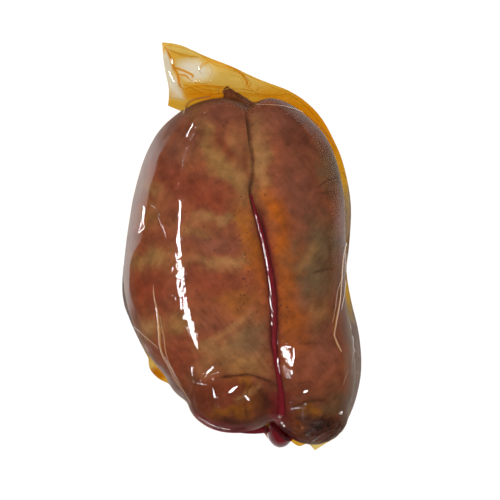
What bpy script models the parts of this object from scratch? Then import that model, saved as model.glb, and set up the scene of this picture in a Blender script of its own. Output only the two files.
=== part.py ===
"""Whole nduja, a soft spreadable pork sausage in two lobes, vacuum packed in an amber shrink bag.

Metres, +Z up, lying on its back on z = 0. +Y runs to the head, where the bag's tail is folded
over, and +X is the side with the smaller lobe. The origin is on the floor, under the middle of
the whole pack. Each lobe is a sphere whose rings are stretched between two rails. The bag is the
back panel that the sausage lies on, with everything that stands out past the meat: the tail, the
flap along the right shoulder and the two bottom corners.
"""

import math

import bmesh
import bpy
from mathutils import Matrix, Vector

MM = 0.001

# The floor, the bag's back panel and the underside of the meat, from below
PANEL_THICKNESS = 0.9 * MM
SEAT_GAP = 0.4 * MM
MEAT_UNDERSIDE = PANEL_THICKNESS + SEAT_GAP
FIT_GAP = 0.35 * MM

# Both lobes are widest at this height. Above it each is rounder on its outer side than on the side
# of the crease, where it stays full up to the fold.
WIDEST_HEIGHT = 34 * MM
LOBE_DROP = 40 * MM
OUTER_FULLNESS = 2.1
CREASE_FULLNESS = 3.0
UNDER_FULLNESS = 2.7
END_BLUNTNESS = 0.58
LOBE_RINGS = 30
LOBE_SIDES = 40

# The crown sinks by a share of its rise on its way to the foot, between these turns
SINK_FROM = math.radians(100)
SINK_TO = math.radians(150)

# Each lobe: head and foot ends, rise of its crown over the widest height, how far the crown sinks
# at the foot, where the crown lies from the left edge (0) to the right one (1), the fullness of
# its left and right side, and the X of both edges, read at even turns of a half circle
LEFT_LOBE = {
    "head": 99 * MM,
    "foot": -117 * MM,
    "rise": 44 * MM,
    "foot_sink": 0.24,
    "crown": 0.63,
    "fullness": (OUTER_FULLNESS, CREASE_FULLNESS),
    "edges": [
        (-14.5, -14.5), (-37, 4), (-57.5, 11.5), (-69.5, 12), (-76, 21.5),
        (-78, 28), (-67, 31), (-45, 33.5), (-20, 27), (2, 2),
    ],
}
RIGHT_LOBE = {
    "head": 99 * MM,
    "foot": -127 * MM,
    "rise": 40 * MM,
    "foot_sink": 0.2,
    "crown": 0.45,
    "fullness": (CREASE_FULLNESS, OUTER_FULLNESS),
    "edges": [
        (19, 19), (3.5, 36), (-3.5, 56), (-4, 66.5), (3.5, 69),
        (12, 69), (14.5, 75), (18.5, 73), (25, 56), (40, 40),
    ],
}

# The closed ends of the casing at the foot, and the fuller side of the left one: middle and radii
LEFT_TOE = (Vector((-4.5, -99.5, 44)) * MM, Vector((32, 23, 25.5)) * MM)
RIGHT_TOE = (Vector((47, -109, 38)) * MM, Vector((24, 21.5, 25)) * MM)
LEFT_HEEL = (Vector((-25, -78, 34)) * MM, Vector((26.5, 27, 29)) * MM)
TOE_RINGS = 14
TOE_SIDES = 24

# The gathered neck of the casing, in the cleft between the two heads
NECK_ROOT = Vector((5, 90, 37)) * MM
NECK_TIP = Vector((-12, 105, 31)) * MM
NECK_RADII = (7 * MM, 3.2 * MM)
NECK_SIDES = 14

# Red juice pressed into the crease: X, Y and radius down the crease from its upper end
JUICE_STRAND = [
    (5.6, 35, 1.0), (9.2, 21, 1.5), (13.2, 6, 2.0), (16.5, -8.5, 2.3), (19.1, -21.5, 2.5),
    (20.5, -35, 2.5), (21.1, -48, 2.3), (20.9, -61, 2.1), (22, -72, 1.9), (24, -84, 2.0),
    (25.6, -97, 2.4), (25.9, -108, 3.2),
]
JUICE_DEPTH = 0.6 * MM
# and the drop of it pooled past the foot, with the thin run under the left toe: X, Y, Z, radius
JUICE_POOL = (Vector((25.5, -121, 21)) * MM, Vector((9.4, 12.4, 13)) * MM)
JUICE_CHIN = [
    (24, -119, 20, 3.2), (12, -121.5, 21, 2.6), (0, -121.5, 23, 2.2), (-12, -118.5, 25, 1.8),
    (-22, -113.5, 28, 1.2),
]
JUICE_SIDES = 10
JUICE_STEPS = 3

# The back panel is flat on the floor round this spine and lifts away from it towards the rim, by
# this many metres for each square metre of the way past its flat reach
SPINE = (Vector((-2, 55)) * MM, Vector((8, -82)) * MM)
FLAT_REACH = 36 * MM
RIM_LIFT = 13
PANEL_SPAN = (180 * MM, 290 * MM)
PANEL_CELL = 7 * MM
PANEL_CLEARANCE = 0.8 * MM
PLAN_HEIGHTS = (-20 * MM, 90 * MM)

# Outline of the bag in plan, clockwise from the tail's upper corner. Each stretch is a smooth
# curve through its points, and the stretches meet at corners.
BAG_OUTLINE = [
    [(-52, 133.5), (-40, 132), (-25, 126.5), (-8, 120), (13, 111), (35.5, 102), (51, 89), (61.5, 71),
     (68.5, 52), (72.5, 28), (71.5, 1), (70, -16), (73, -36), (78, -58), (79.5, -81), (76, -101),
     (69.5, -117)],
    [(69.5, -117), (62.5, -126), (54, -132), (48.5, -135.5)],
    [(48.5, -135.5), (44, -130.5)],
    [(44, -130.5), (38, -133), (31.5, -129)],
    [(31.5, -129), (28.5, -133.5), (21.5, -133), (16, -126.5), (12.5, -121.5)],
    [(12.5, -121.5), (2, -123.5), (-18, -119), (-34.5, -106), (-49.5, -91)],
    [(-49.5, -91), (-56, -87.5), (-61.5, -81), (-62.5, -74)],
    [(-62.5, -74), (-70.5, -58.5), (-78, -40), (-80, -25), (-78, -2), (-74.5, 23), (-68, 51),
     (-57.5, 74), (-40.5, 91)],
    [(-40.5, 91), (-49.5, 94.5)],
    [(-49.5, 94.5), (-48.5, 105), (-51, 118), (-52, 133.5)],
]
OUTLINE_STEPS = 4

# The loose film of the tail climbs from its root, in slanted folds
TAIL_ROOT = 88 * MM
TAIL_RUN = 28 * MM
TAIL_RISE = 14 * MM
FOLD_HEIGHT = 4.5 * MM
FOLD_SPACING = 26 * MM
FOLD_SLANT = math.radians(-26)

# The flap along the right shoulder climbs to the right of one line and above another
SHOULDER_LEFT = 60 * MM
SHOULDER_LOW = -12 * MM
SHOULDER_RUN = (14 * MM, 20 * MM)
SHOULDER_RISE = 7 * MM

SHARP_ANGLE = math.radians(50)
WELD_DISTANCE = 0.01 * MM
CUT_TOLERANCE = 0.001 * MM

# Colour and roughness of each finish
CASING_BROWN = ((0.24, 0.085, 0.04, 1.0), 0.45)
JUICE_RED = ((0.12, 0.006, 0.014, 1.0), 0.12)
FILM_AMBER = ((0.85, 0.48, 0.06, 1.0), 0.15)


def clear_scene():
    """Removes what Blender opens with."""
    for obj in list(bpy.data.objects):
        bpy.data.objects.remove(obj, do_unlink=True)


def new_collection(name, shown=True):
    """A collection in the scene; one for cutters is left out of renders."""
    collection = bpy.data.collections.new(name)
    bpy.context.scene.collection.children.link(collection)
    collection.hide_render = not shown
    return collection


def new_material(name, colour, roughness):
    """A plain Principled finish."""
    material = bpy.data.materials.new(name)
    material.use_nodes = True
    shader = material.node_tree.nodes["Principled BSDF"]
    shader.inputs["Base Color"].default_value = colour
    shader.inputs["Roughness"].default_value = roughness
    shader.inputs["Metallic"].default_value = 0.0
    return material


def new_object(name, work, collection, cutter=False):
    """Ends a bmesh as an object of that name."""
    bmesh.ops.recalc_face_normals(work, faces=work.faces)
    mesh = bpy.data.meshes.new(name)
    work.to_mesh(mesh)
    work.free()
    obj = bpy.data.objects.new(name, mesh)
    collection.objects.link(obj)
    if cutter:
        obj.hide_render = True
        obj.display_type = "WIRE"
    return obj


def finish(obj, material):
    """Gives a part its finish and smooth shading."""
    obj.data.materials.clear()
    obj.data.materials.append(material)
    obj.data.shade_smooth()
    obj.data.set_sharp_from_angle(angle=SHARP_ANGLE)


def eased(value):
    """0 to 1 with level ends."""
    value = max(0.0, min(1.0, value))
    return value * value * (3 - 2 * value)


def smooth_between(values, place):
    """Catmull-Rom value at a place from 0 to len(values) - 1."""
    low = min(int(place), len(values) - 2)
    share = place - low
    before, start, end, after = (
        values[max(0, min(len(values) - 1, low + step))] for step in (-1, 0, 1, 2)
    )
    slope_in, slope_out = (end - before) / 2, (after - start) / 2
    cube, square = share**3, share**2
    return (
        start * (2 * cube - 3 * square + 1)
        + slope_in * (cube - 2 * square + share)
        + end * (3 * square - 2 * cube)
        + slope_out * (cube - square)
    )


def lobe_section(lobe, turn):
    """Crown X, spans to both edges, crown rise and drop of a lobe, from turn 0 (head) to pi."""
    place = turn / math.pi * (len(lobe["edges"]) - 1)
    left = smooth_between([edge[0] for edge in lobe["edges"]], place) * MM
    right = smooth_between([edge[1] for edge in lobe["edges"]], place) * MM
    swell = max(math.sin(turn), 0.0) ** END_BLUNTNESS
    sink = lobe["foot_sink"] * eased((turn - SINK_FROM) / (SINK_TO - SINK_FROM))
    rise = lobe["rise"] * swell * (1 - sink)
    width = max(right - left, 0.0)
    spans = (width * lobe["crown"], width * (1 - lobe["crown"]))
    return left + spans[0], spans, rise, LOBE_DROP * swell


def lobe_y(lobe, turn):
    """Y of a lobe's section at a turn."""
    return (lobe["head"] + lobe["foot"]) / 2 + (lobe["head"] - lobe["foot"]) / 2 * math.cos(turn)


def across_lobe(lobe, x, y):
    """A lobe's side (0 left, 1 right), share of that side's span, rise and drop over a point."""
    share = (y - (lobe["head"] + lobe["foot"]) / 2) / ((lobe["head"] - lobe["foot"]) / 2)
    if abs(share) >= 1:
        return 0, 1.0, 0.0, 0.0
    crown, spans, rise, drop = lobe_section(lobe, math.acos(share))
    side = int(x > crown)
    across = abs(x - crown) / spans[side] if spans[side] else 1.0
    return side, min(across, 1.0), rise, drop


def lobe_top(lobe, x, y):
    """Height of a lobe's upper surface over a point, or 0 outside it."""
    side, across, rise, _ = across_lobe(lobe, x, y)
    if across >= 1:
        return 0.0
    fullness = lobe["fullness"][side]
    return WIDEST_HEIGHT + rise * (1 - across**fullness) ** (1 / fullness)


def ellipsoid_underside(middle, radii, x, y):
    """Height of an ellipsoid's lower surface over a point, or None outside it."""
    across = ((x - middle.x) / radii.x) ** 2 + ((y - middle.y) / radii.y) ** 2
    return middle.z - radii.z * math.sqrt(1 - across) if across < 1 else None


def lobe_underside(lobe, x, y):
    """Height of a lobe's lower surface over a point, or None outside it."""
    _, across, _, drop = across_lobe(lobe, x, y)
    if across >= 1:
        return None
    return WIDEST_HEIGHT - drop * (1 - across**UNDER_FULLNESS) ** (1 / UNDER_FULLNESS)


def meat_underside(x, y):
    """Height of the lowest thing over a point that the bag's panel has to stay under."""
    found = [lobe_underside(lobe, x, y) for lobe in (LEFT_LOBE, RIGHT_LOBE)]
    found += [ellipsoid_underside(*piece, x, y) for piece in (LEFT_TOE, RIGHT_TOE, LEFT_HEEL, JUICE_POOL)]
    return min([height for height in found if height is not None], default=math.inf)


def rounded(value, fullness):
    """A sine or cosine drawn out into a fuller, squarer curve."""
    return math.copysign(abs(value) ** (2 / fullness), value)


def lobe_mesh(lobe):
    """One lobe: a sphere with its poles at head and foot, each ring stretched between the rails."""
    work = bmesh.new()
    bmesh.ops.create_uvsphere(work, u_segments=LOBE_SIDES, v_segments=LOBE_RINGS, radius=1)
    for vert in work.verts:
        turn = math.acos(max(-1.0, min(1.0, -vert.co.z)))
        around = math.atan2(vert.co.y, vert.co.x)
        crown, spans, rise, drop = lobe_section(lobe, turn)
        upper = math.sin(around) >= 0
        side = int(math.cos(around) > 0)
        fullness = lobe["fullness"][side] if upper else UNDER_FULLNESS
        vert.co.x = crown + spans[side] * rounded(math.cos(around), fullness)
        vert.co.y = lobe_y(lobe, turn)
        vert.co.z = WIDEST_HEIGHT + (rise if upper else drop) * rounded(math.sin(around), fullness)
    return work


def ellipsoid_mesh(middle, radii, sides=TOE_SIDES, rings=TOE_RINGS):
    """A sphere stretched to three radii."""
    work = bmesh.new()
    bmesh.ops.create_uvsphere(
        work,
        u_segments=sides,
        v_segments=rings,
        radius=1,
        matrix=Matrix.Translation(middle) @ Matrix.Diagonal((*radii, 1)),
    )
    return work


def neck_mesh():
    """The gathered neck of the casing, a short cone from the cleft to its tip."""
    run = NECK_TIP - NECK_ROOT
    turn = run.to_track_quat("Z", "Y").to_matrix().to_4x4()
    work = bmesh.new()
    bmesh.ops.create_cone(
        work,
        cap_ends=True,
        segments=NECK_SIDES,
        radius1=NECK_RADII[0],
        radius2=NECK_RADII[1],
        depth=run.length,
        matrix=Matrix.Translation((NECK_ROOT + NECK_TIP) / 2) @ turn,
    )
    return work


def tube_object(name, points, radii, collection):
    """A closed tube with its own radius at each point, as a welded mesh."""
    curve = bpy.data.curves.new(name, "CURVE")
    curve.dimensions = "3D"
    curve.bevel_depth = 1.0
    curve.bevel_resolution = (JUICE_SIDES - 4) // 2
    curve.use_fill_caps = True
    spline = curve.splines.new("POLY")
    spline.points.add(len(points) - 1)
    for control, point, radius in zip(spline.points, points, radii):
        control.co = (*point, 1)
        control.radius = radius
    guide = bpy.data.objects.new(name + "_guide", curve)
    collection.objects.link(guide)
    bpy.context.view_layer.update()
    mesh = bpy.data.meshes.new_from_object(guide.evaluated_get(bpy.context.evaluated_depsgraph_get()))
    work = bmesh.new()
    work.from_mesh(mesh)
    work.transform(guide.matrix_world)
    bpy.data.objects.remove(guide, do_unlink=True)
    bmesh.ops.remove_doubles(work, verts=work.verts, dist=WELD_DISTANCE)
    return new_object(name, work, collection, cutter=True)


def prism_object(name, outline, low, high, collection):
    """A flat outline in millimetres, pulled up into a block between two heights."""
    work = bmesh.new()
    verts = [work.verts.new((x * MM, y * MM, low)) for x, y in outline]
    base = work.faces.new(verts)
    pulled = bmesh.ops.extrude_face_region(work, geom=[base])
    risen = [item for item in pulled["geom"] if isinstance(item, bmesh.types.BMVert)]
    bmesh.ops.translate(work, verts=risen, vec=(0, 0, high - low))
    return new_object(name, work, collection, cutter=True)


def apply_boolean(obj, operation, other):
    """Joins or cuts with one object or with a whole collection, and applies the result."""
    modifier = obj.modifiers.new(operation.title(), "BOOLEAN")
    modifier.operation = operation
    modifier.solver = "EXACT"
    if isinstance(other, bpy.types.Collection):
        modifier.operand_type = "COLLECTION"
        modifier.collection = other
    else:
        modifier.object = other
    bpy.context.view_layer.update()
    graph = bpy.context.evaluated_depsgraph_get()
    joined = bpy.data.meshes.new_from_object(obj.evaluated_get(graph))
    obj.modifiers.clear()
    obj.data = joined


def remove_collection(collection):
    """Removes a collection of cutters with its objects."""
    for obj in list(collection.objects):
        bpy.data.objects.remove(obj, do_unlink=True)
    bpy.data.collections.remove(collection)


def cut_flat(obj, height):
    """Cuts a solid off level at a height and closes the cut."""
    work = bmesh.new()
    work.from_mesh(obj.data)
    cut = bmesh.ops.bisect_plane(
        work,
        geom=work.verts[:] + work.edges[:] + work.faces[:],
        dist=CUT_TOLERANCE,
        plane_co=(0, 0, height),
        plane_no=(0, 0, 1),
        clear_inner=True,
    )
    rim = [item for item in cut["geom_cut"] if isinstance(item, bmesh.types.BMEdge)]
    bmesh.ops.contextual_create(work, geom=rim)
    bmesh.ops.triangulate(work, faces=[face for face in work.faces if len(face.verts) > 4])
    work.to_mesh(obj.data)
    work.free()


def filled_in(points, steps):
    """Points of any size with smooth steps between them."""
    places = [step / steps for step in range((len(points) - 1) * steps + 1)]
    return [
        tuple(smooth_between([point[axis] for point in points], place) for axis in range(len(points[0])))
        for place in places
    ]


def juice_pieces(collection, spare):
    """The strand, the pool and the run under the toe, each grown by a spare distance."""
    strand = []
    for x, y, radius in filled_in(JUICE_STRAND, JUICE_STEPS):
        bed = max(lobe_top(lobe, x * MM, y * MM) for lobe in (LEFT_LOBE, RIGHT_LOBE))
        strand.append((x, y, (bed + JUICE_DEPTH) / MM, radius))
    strand.append((*(JUICE_POOL[0] / MM), strand[-1][3]))
    for name, run in (("juice_strand", strand), ("juice_chin", filled_in(JUICE_CHIN, JUICE_STEPS))):
        points = [Vector(point[:3]) * MM for point in run]
        tube_object(name, points, [point[3] * MM + spare for point in run], collection)
    pool_radii = JUICE_POOL[1] + Vector((spare, spare, spare))
    return new_object("juice_pool", ellipsoid_mesh(JUICE_POOL[0], pool_radii), collection, True)


def joined_juice(name, spare):
    """The juice as one solid."""
    pieces = new_collection(name + "_pieces", shown=False)
    pool = juice_pieces(pieces, spare)
    pieces.objects.unlink(pool)
    bpy.context.scene.collection.objects.link(pool)
    pool.name = name
    apply_boolean(pool, "UNION", pieces)
    remove_collection(pieces)
    return pool


def build_nduja(collection):
    """The sausage: two lobes, the toes and heel at their feet and the neck, flat where it lies."""
    pieces = new_collection("lobe_pieces", shown=False)
    body = new_object("nduja", lobe_mesh(LEFT_LOBE), collection)
    new_object("right_lobe", lobe_mesh(RIGHT_LOBE), pieces, cutter=True)
    new_object("left_toe", ellipsoid_mesh(*LEFT_TOE), pieces, cutter=True)
    new_object("right_toe", ellipsoid_mesh(*RIGHT_TOE), pieces, cutter=True)
    new_object("left_heel", ellipsoid_mesh(*LEFT_HEEL), pieces, cutter=True)
    new_object("neck", neck_mesh(), pieces, cutter=True)
    apply_boolean(body, "UNION", pieces)
    remove_collection(pieces)
    cut_flat(body, MEAT_UNDERSIDE)
    channel = joined_juice("juice_channel", FIT_GAP)
    apply_boolean(body, "DIFFERENCE", channel)
    bpy.data.objects.remove(channel, do_unlink=True)
    finish(body, new_material("casing", *CASING_BROWN))
    return body


def build_juice(collection):
    """The red juice in the crease and past the foot."""
    juice = joined_juice("juice", 0.0)
    bpy.context.scene.collection.objects.unlink(juice)
    collection.objects.link(juice)
    juice.hide_render = False
    juice.display_type = "TEXTURED"
    finish(juice, new_material("juice_red", *JUICE_RED))
    return juice


def from_spine(point):
    """The way from the back panel's spine to a point in plan."""
    start, end = SPINE
    run = end - start
    share = max(0.0, min(1.0, (point - start).dot(run) / run.length_squared))
    return point - start - run * share


def panel_height(x, y):
    """Height of the bag's back panel: flat on the floor, lifting at the rim, folded at the tail."""
    out = from_spine(Vector((x, y)))
    lift = RIM_LIFT * max(0.0, out.length - FLAT_REACH) ** 2
    tail = eased((y - TAIL_ROOT) / TAIL_RUN)
    along = x * math.sin(FOLD_SLANT) + y * math.cos(FOLD_SLANT)
    folds = FOLD_HEIGHT * (1 + math.sin(2 * math.pi * along / FOLD_SPACING))
    right = eased((x - SHOULDER_LEFT) / SHOULDER_RUN[0])
    above = eased((y - SHOULDER_LOW) / SHOULDER_RUN[1])
    free = lift + tail * (TAIL_RISE + folds) + SHOULDER_RISE * right * above
    inward = Vector((x, y)) - out.normalized() * PANEL_CELL
    ceiling = min(meat_underside(x, y), meat_underside(*inward))
    return max(0.0, min(free, ceiling - PANEL_THICKNESS - PANEL_CLEARANCE))


def bag_plan():
    """The bag's outline in plan, in millimetres, with its smooth stretches filled in."""
    outline = []
    for stretch in BAG_OUTLINE:
        steps = OUTLINE_STEPS if len(stretch) > 2 else 1
        outline += filled_in(stretch, steps)[:-1]
    return outline


def build_bag(collection):
    """The bag's back panel with its tail, flap and corners, as one thin folded solid."""
    work = bmesh.new()
    bmesh.ops.create_grid(
        work,
        x_segments=round(PANEL_SPAN[0] / PANEL_CELL),
        y_segments=round(PANEL_SPAN[1] / PANEL_CELL),
        size=0.5,
        matrix=Matrix.Diagonal((*PANEL_SPAN, 1, 1)),
    )
    bmesh.ops.triangulate(work, faces=work.faces)
    for vert in work.verts:
        vert.co.z = panel_height(vert.co.x, vert.co.y)
    top = bmesh.ops.extrude_face_region(work, geom=work.faces[:])
    risen = [item for item in top["geom"] if isinstance(item, bmesh.types.BMVert)]
    bmesh.ops.translate(work, verts=risen, vec=(0, 0, PANEL_THICKNESS))
    bag = new_object("bag", work, collection)
    plan = prism_object("bag_plan", bag_plan(), *PLAN_HEIGHTS, bpy.context.scene.collection)
    apply_boolean(bag, "INTERSECT", plan)
    bpy.data.objects.remove(plan, do_unlink=True)
    finish(bag, new_material("film_amber", *FILM_AMBER))
    return bag


def main():
    """Builds the pack."""
    clear_scene()
    pack = new_collection("nduja_pack")
    build_nduja(pack)
    build_juice(pack)
    build_bag(pack)


main()
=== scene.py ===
"""Looks of a whole nduja, a soft two-lobed sausage, in its tight amber shrink bag.

Metres, +Z up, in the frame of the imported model: +Y runs to the head with the bag's tail and +X is
the side of the smaller lobe. The meat and the film over it are grown from one pouch, the same two
lobes and toes as the solid. The tail, the flap and the corners are crumpled sheets of film.
"""

import logging
import math
from dataclasses import dataclass
from enum import Enum

import bmesh
import bpy
import numpy as np
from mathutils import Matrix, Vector, noise
from mathutils.bvhtree import BVHTree


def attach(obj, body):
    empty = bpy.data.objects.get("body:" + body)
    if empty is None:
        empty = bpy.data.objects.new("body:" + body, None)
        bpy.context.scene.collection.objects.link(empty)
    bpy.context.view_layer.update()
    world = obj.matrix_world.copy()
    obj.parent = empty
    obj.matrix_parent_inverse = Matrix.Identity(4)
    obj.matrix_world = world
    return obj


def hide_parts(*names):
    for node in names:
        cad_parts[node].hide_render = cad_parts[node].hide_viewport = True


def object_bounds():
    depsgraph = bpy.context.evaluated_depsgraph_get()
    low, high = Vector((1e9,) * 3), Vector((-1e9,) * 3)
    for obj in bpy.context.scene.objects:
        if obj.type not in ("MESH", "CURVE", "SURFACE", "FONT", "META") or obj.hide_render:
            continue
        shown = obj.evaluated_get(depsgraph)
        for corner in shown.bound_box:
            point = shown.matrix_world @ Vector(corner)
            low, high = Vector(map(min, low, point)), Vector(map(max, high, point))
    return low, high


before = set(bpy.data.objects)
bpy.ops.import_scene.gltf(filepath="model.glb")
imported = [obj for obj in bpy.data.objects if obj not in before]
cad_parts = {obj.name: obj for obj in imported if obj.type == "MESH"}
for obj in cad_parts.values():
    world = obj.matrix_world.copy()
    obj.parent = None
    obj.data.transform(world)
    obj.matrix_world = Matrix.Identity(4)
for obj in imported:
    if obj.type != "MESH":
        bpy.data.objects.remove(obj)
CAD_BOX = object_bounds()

LOG = logging.getLogger("nduja")
BODY = "root"
MM = 0.001
WELD = 0.01 * MM
Colour = tuple[float, float, float, float]
Point = tuple[float, float]
WHITE: Colour = (1.0, 1.0, 1.0, 1.0)
EYE = Vector((5.28, -1.8, 2000)) * MM
SEEN_HEIGHT = 34 * MM
NOISE_STEP = (7.3, 3.1, 5.7)
NOISE_FALLOFF, NOISE_FINER = 0.8, 2.1
RELAX_STEP, RELAX_FADE = 0.5, 12 * MM
NORMALS_EVERY = 10
STRAND_STEPS, NARROWEST_STRAND = 8, 0.15
PIMPLE_TOP = 0.75
PIMPLE_CLOUDS: Point = (0.42, 0.62)


class Slot(Enum):
    """Material slots of the record."""

    CASING = "casing"
    JUICE = "juice"
    FILM = "film"


class Tone(Enum):
    """Colours of the casing and the paste that shows through it, linear."""

    CHESTNUT = (0.225, 0.061, 0.027)
    RUST = (0.195, 0.040, 0.017)
    MAUVE = (0.185, 0.062, 0.037)
    PLUM = (0.115, 0.030, 0.018)
    OLIVE = (0.268, 0.138, 0.046)
    TAN = (0.300, 0.150, 0.058)
    ORANGE = (0.330, 0.080, 0.005)
    GOLD = (0.285, 0.100, 0.012)
    DUSK = (0.150, 0.092, 0.045)
    # UMBER is also the colour of the painted shade in the grooves.
    UMBER = (0.050, 0.016, 0.008)
    CRIMSON = (0.130, 0.010, 0.013)
    NECK = (0.105, 0.028, 0.005)


class Tint(Enum):
    """Colours of the film: the share of light that one face of it lets through."""

    CLEAR = (0.82, 0.77, 0.66)
    PALE = (0.83, 0.72, 0.40)
    GOLD = (0.79, 0.57, 0.14)
    ORANGE = (0.79, 0.44, 0.015)
    DEEP = (0.55, 0.22, 0.01)
    SMOKE = (0.46, 0.39, 0.36)
    SKIN = (0.98, 0.94, 0.88)
    WINE = (0.50, 0.12, 0.13)


class Sheen(Enum):
    """How much of its full gloss the film shows."""

    BRIGHT = (1.0,)
    HALF = (0.55,)
    LOW = (0.22,)
    FAINT = (0.05,)


class Crowd(Enum):
    """How densely specks lie, as a share of the densest."""

    MANY = (1.0,)
    SOME = (0.55,)


@dataclass(frozen=True)
class Patch:
    """A soft-edged field of one tone, as an ellipse seen from above, in millimetres."""

    tone: Enum
    middle: Point
    reach: Point
    turn: float = 0.0
    strength: float = 0.7
    edge: float = 1.2

    def weight(self, places: np.ndarray) -> np.ndarray:
        """Share of this tone at each place.

        Args:
            places: X and Y of each point, in millimetres.

        Returns:
            One share from 0 to 1 for each point.
        """
        angle = math.radians(self.turn)
        away = places - np.array(self.middle)
        along = (away[:, 0] * math.cos(angle) + away[:, 1] * math.sin(angle)) / self.reach[0]
        across = (away[:, 1] * math.cos(angle) - away[:, 0] * math.sin(angle)) / self.reach[1]
        return self.strength * np.exp(-((along**2 + across**2) ** self.edge))


@dataclass(frozen=True)
class Groove:
    """A fold or a stain along a line seen from above, in millimetres.

    Each of its ends fades over a share of its length, which is one over taper. Its shade is how
    strongly a colour is laid along it: painted shade in a groove of the casing, the stain's own
    colour for a stain, the film's own tint for a fold of the loose film.
    """

    line: tuple[Point, ...]
    depth: float
    width: float
    shade: float = 0.6
    steps: int = 6
    taper: float = 6.0

    def pressed(self, places: np.ndarray) -> np.ndarray:
        """How deep each place lies in the groove, from 0 beside it to 1 on its line.

        Args:
            places: X and Y of each point, in millimetres.

        Returns:
            One share for each point, fading out at both ends of the line.
        """
        route = smooth_line(self.line, self.steps)
        away, along = distance_to_line(places, route)
        ends = np.clip(np.minimum(along, 1 - along) * self.taper, 0, 1)
        return np.exp(-((away / self.width) ** 2)) * eased(ends)


def laid_over(values: np.ndarray, tone: Enum, shares: np.ndarray) -> np.ndarray:
    """Rows of values with a tone laid over them, by a share from 0 to 1 for each row."""
    shares = shares[:, None]
    return values * (1 - shares) + np.array(tone.value) * shares


def paint_over(values: np.ndarray, patches: tuple[Patch, ...], places: np.ndarray) -> np.ndarray:
    """Lays patches over values, one after another.

    Args:
        values: One row for each point.
        patches: The patches, whose tones have as many numbers as a row.
        places: X and Y of each point, in millimetres.

    Returns:
        The new rows.
    """
    for patch in patches:
        values = laid_over(values, patch.tone, patch.weight(places))
    return values


def eased(values: np.ndarray) -> np.ndarray:
    """0 to 1 with level ends."""
    values = np.clip(values, 0.0, 1.0)
    return values * values * (3 - 2 * values)


def smooth_between(values: np.ndarray, places: np.ndarray) -> np.ndarray:
    """Catmull-Rom values.

    Args:
        values: The rows to pass through.
        places: Where to read them, from 0 to one less than their count.

    Returns:
        One row for each place.
    """
    values = np.asarray(values, float)
    last = len(values) - 1
    low = np.minimum(places.astype(int), last - 1)
    share = places - low
    before, start, end, after = (values[np.clip(low + step, 0, last)] for step in (-1, 0, 1, 2))
    if values.ndim > 1:
        share = share[:, None]
    slope_in, slope_out = (end - before) / 2, (after - start) / 2
    cube, square = share**3, share**2
    return (
        start * (2 * cube - 3 * square + 1)
        + slope_in * (cube - 2 * square + share)
        + end * (3 * square - 2 * cube)
        + slope_out * (cube - square)
    )


def smooth_line(points: tuple, steps: int) -> np.ndarray:
    """A smooth line through points, with a number of steps between each two."""
    places = np.linspace(0, len(points) - 1, (len(points) - 1) * steps + 1)
    return smooth_between(np.array(points, float), places)


def distance_to_line(places: np.ndarray, route: np.ndarray) -> tuple[np.ndarray, np.ndarray]:
    """Distance of places to a line in plan.

    Args:
        places: X and Y of each point.
        route: The line's points, in the same unit.

    Returns:
        The distance, and the share of the line's length at the nearest point on it.
    """
    best = np.full(len(places), np.inf)
    along = np.zeros(len(places))
    lengths = np.linalg.norm(np.diff(route, axis=0), axis=1)
    total, passed = lengths.sum(), 0.0
    for start, end, length in zip(route[:-1], route[1:], lengths):
        run = end - start
        share = np.clip(((places - start) @ run) / max(run @ run, 1e-12), 0, 1)
        away = np.linalg.norm(places - start - share[:, None] * run, axis=1)
        closer = away < best
        best[closer] = away[closer]
        along[closer] = (passed + share[closer] * length) / total
        passed += length
    return best, along


@dataclass(frozen=True)
class Ripple:
    """Smooth uneven noise: how wide its lumps are, in millimetres, and how high they stand."""

    width: float
    height: float
    seed: int
    detail: int = 2
    stretch: tuple[float, float, float] = (1.0, 1.0, 1.0)

    def over(self, places: np.ndarray) -> np.ndarray:
        """How high it stands at each place.

        Args:
            places: Points in metres, with three columns.

        Returns:
            One value for each point, from about -height to height.
        """
        shift = Vector([self.seed * step for step in NOISE_STEP])
        size = self.width * MM
        lumps = [
            noise.fractal(Vector(place) / size + shift, NOISE_FALLOFF, NOISE_FINER, self.detail)
            for place in places * self.stretch
        ]
        return np.array(lumps) * self.height


def rows_of(items: bpy.types.bpy_prop_collection, key: str) -> np.ndarray:
    """The X, Y and Z of each item of a mesh."""
    values = np.empty(len(items) * 3, np.float32)
    items.foreach_get(key, values)
    return values.reshape(-1, 3).astype(float)


def mesh_points(mesh: bpy.types.Mesh) -> np.ndarray:
    """A mesh's vertices as rows of X, Y and Z."""
    return rows_of(mesh.vertices, "co")


def mesh_normals(mesh: bpy.types.Mesh) -> np.ndarray:
    """A mesh's vertex normals as rows of X, Y and Z."""
    return rows_of(mesh.vertex_normals, "vector")


def move_points(mesh: bpy.types.Mesh, points: np.ndarray) -> None:
    """Puts a mesh's vertices at these points."""
    mesh.vertices.foreach_set("co", points.astype(np.float32).ravel())
    mesh.update()


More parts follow.
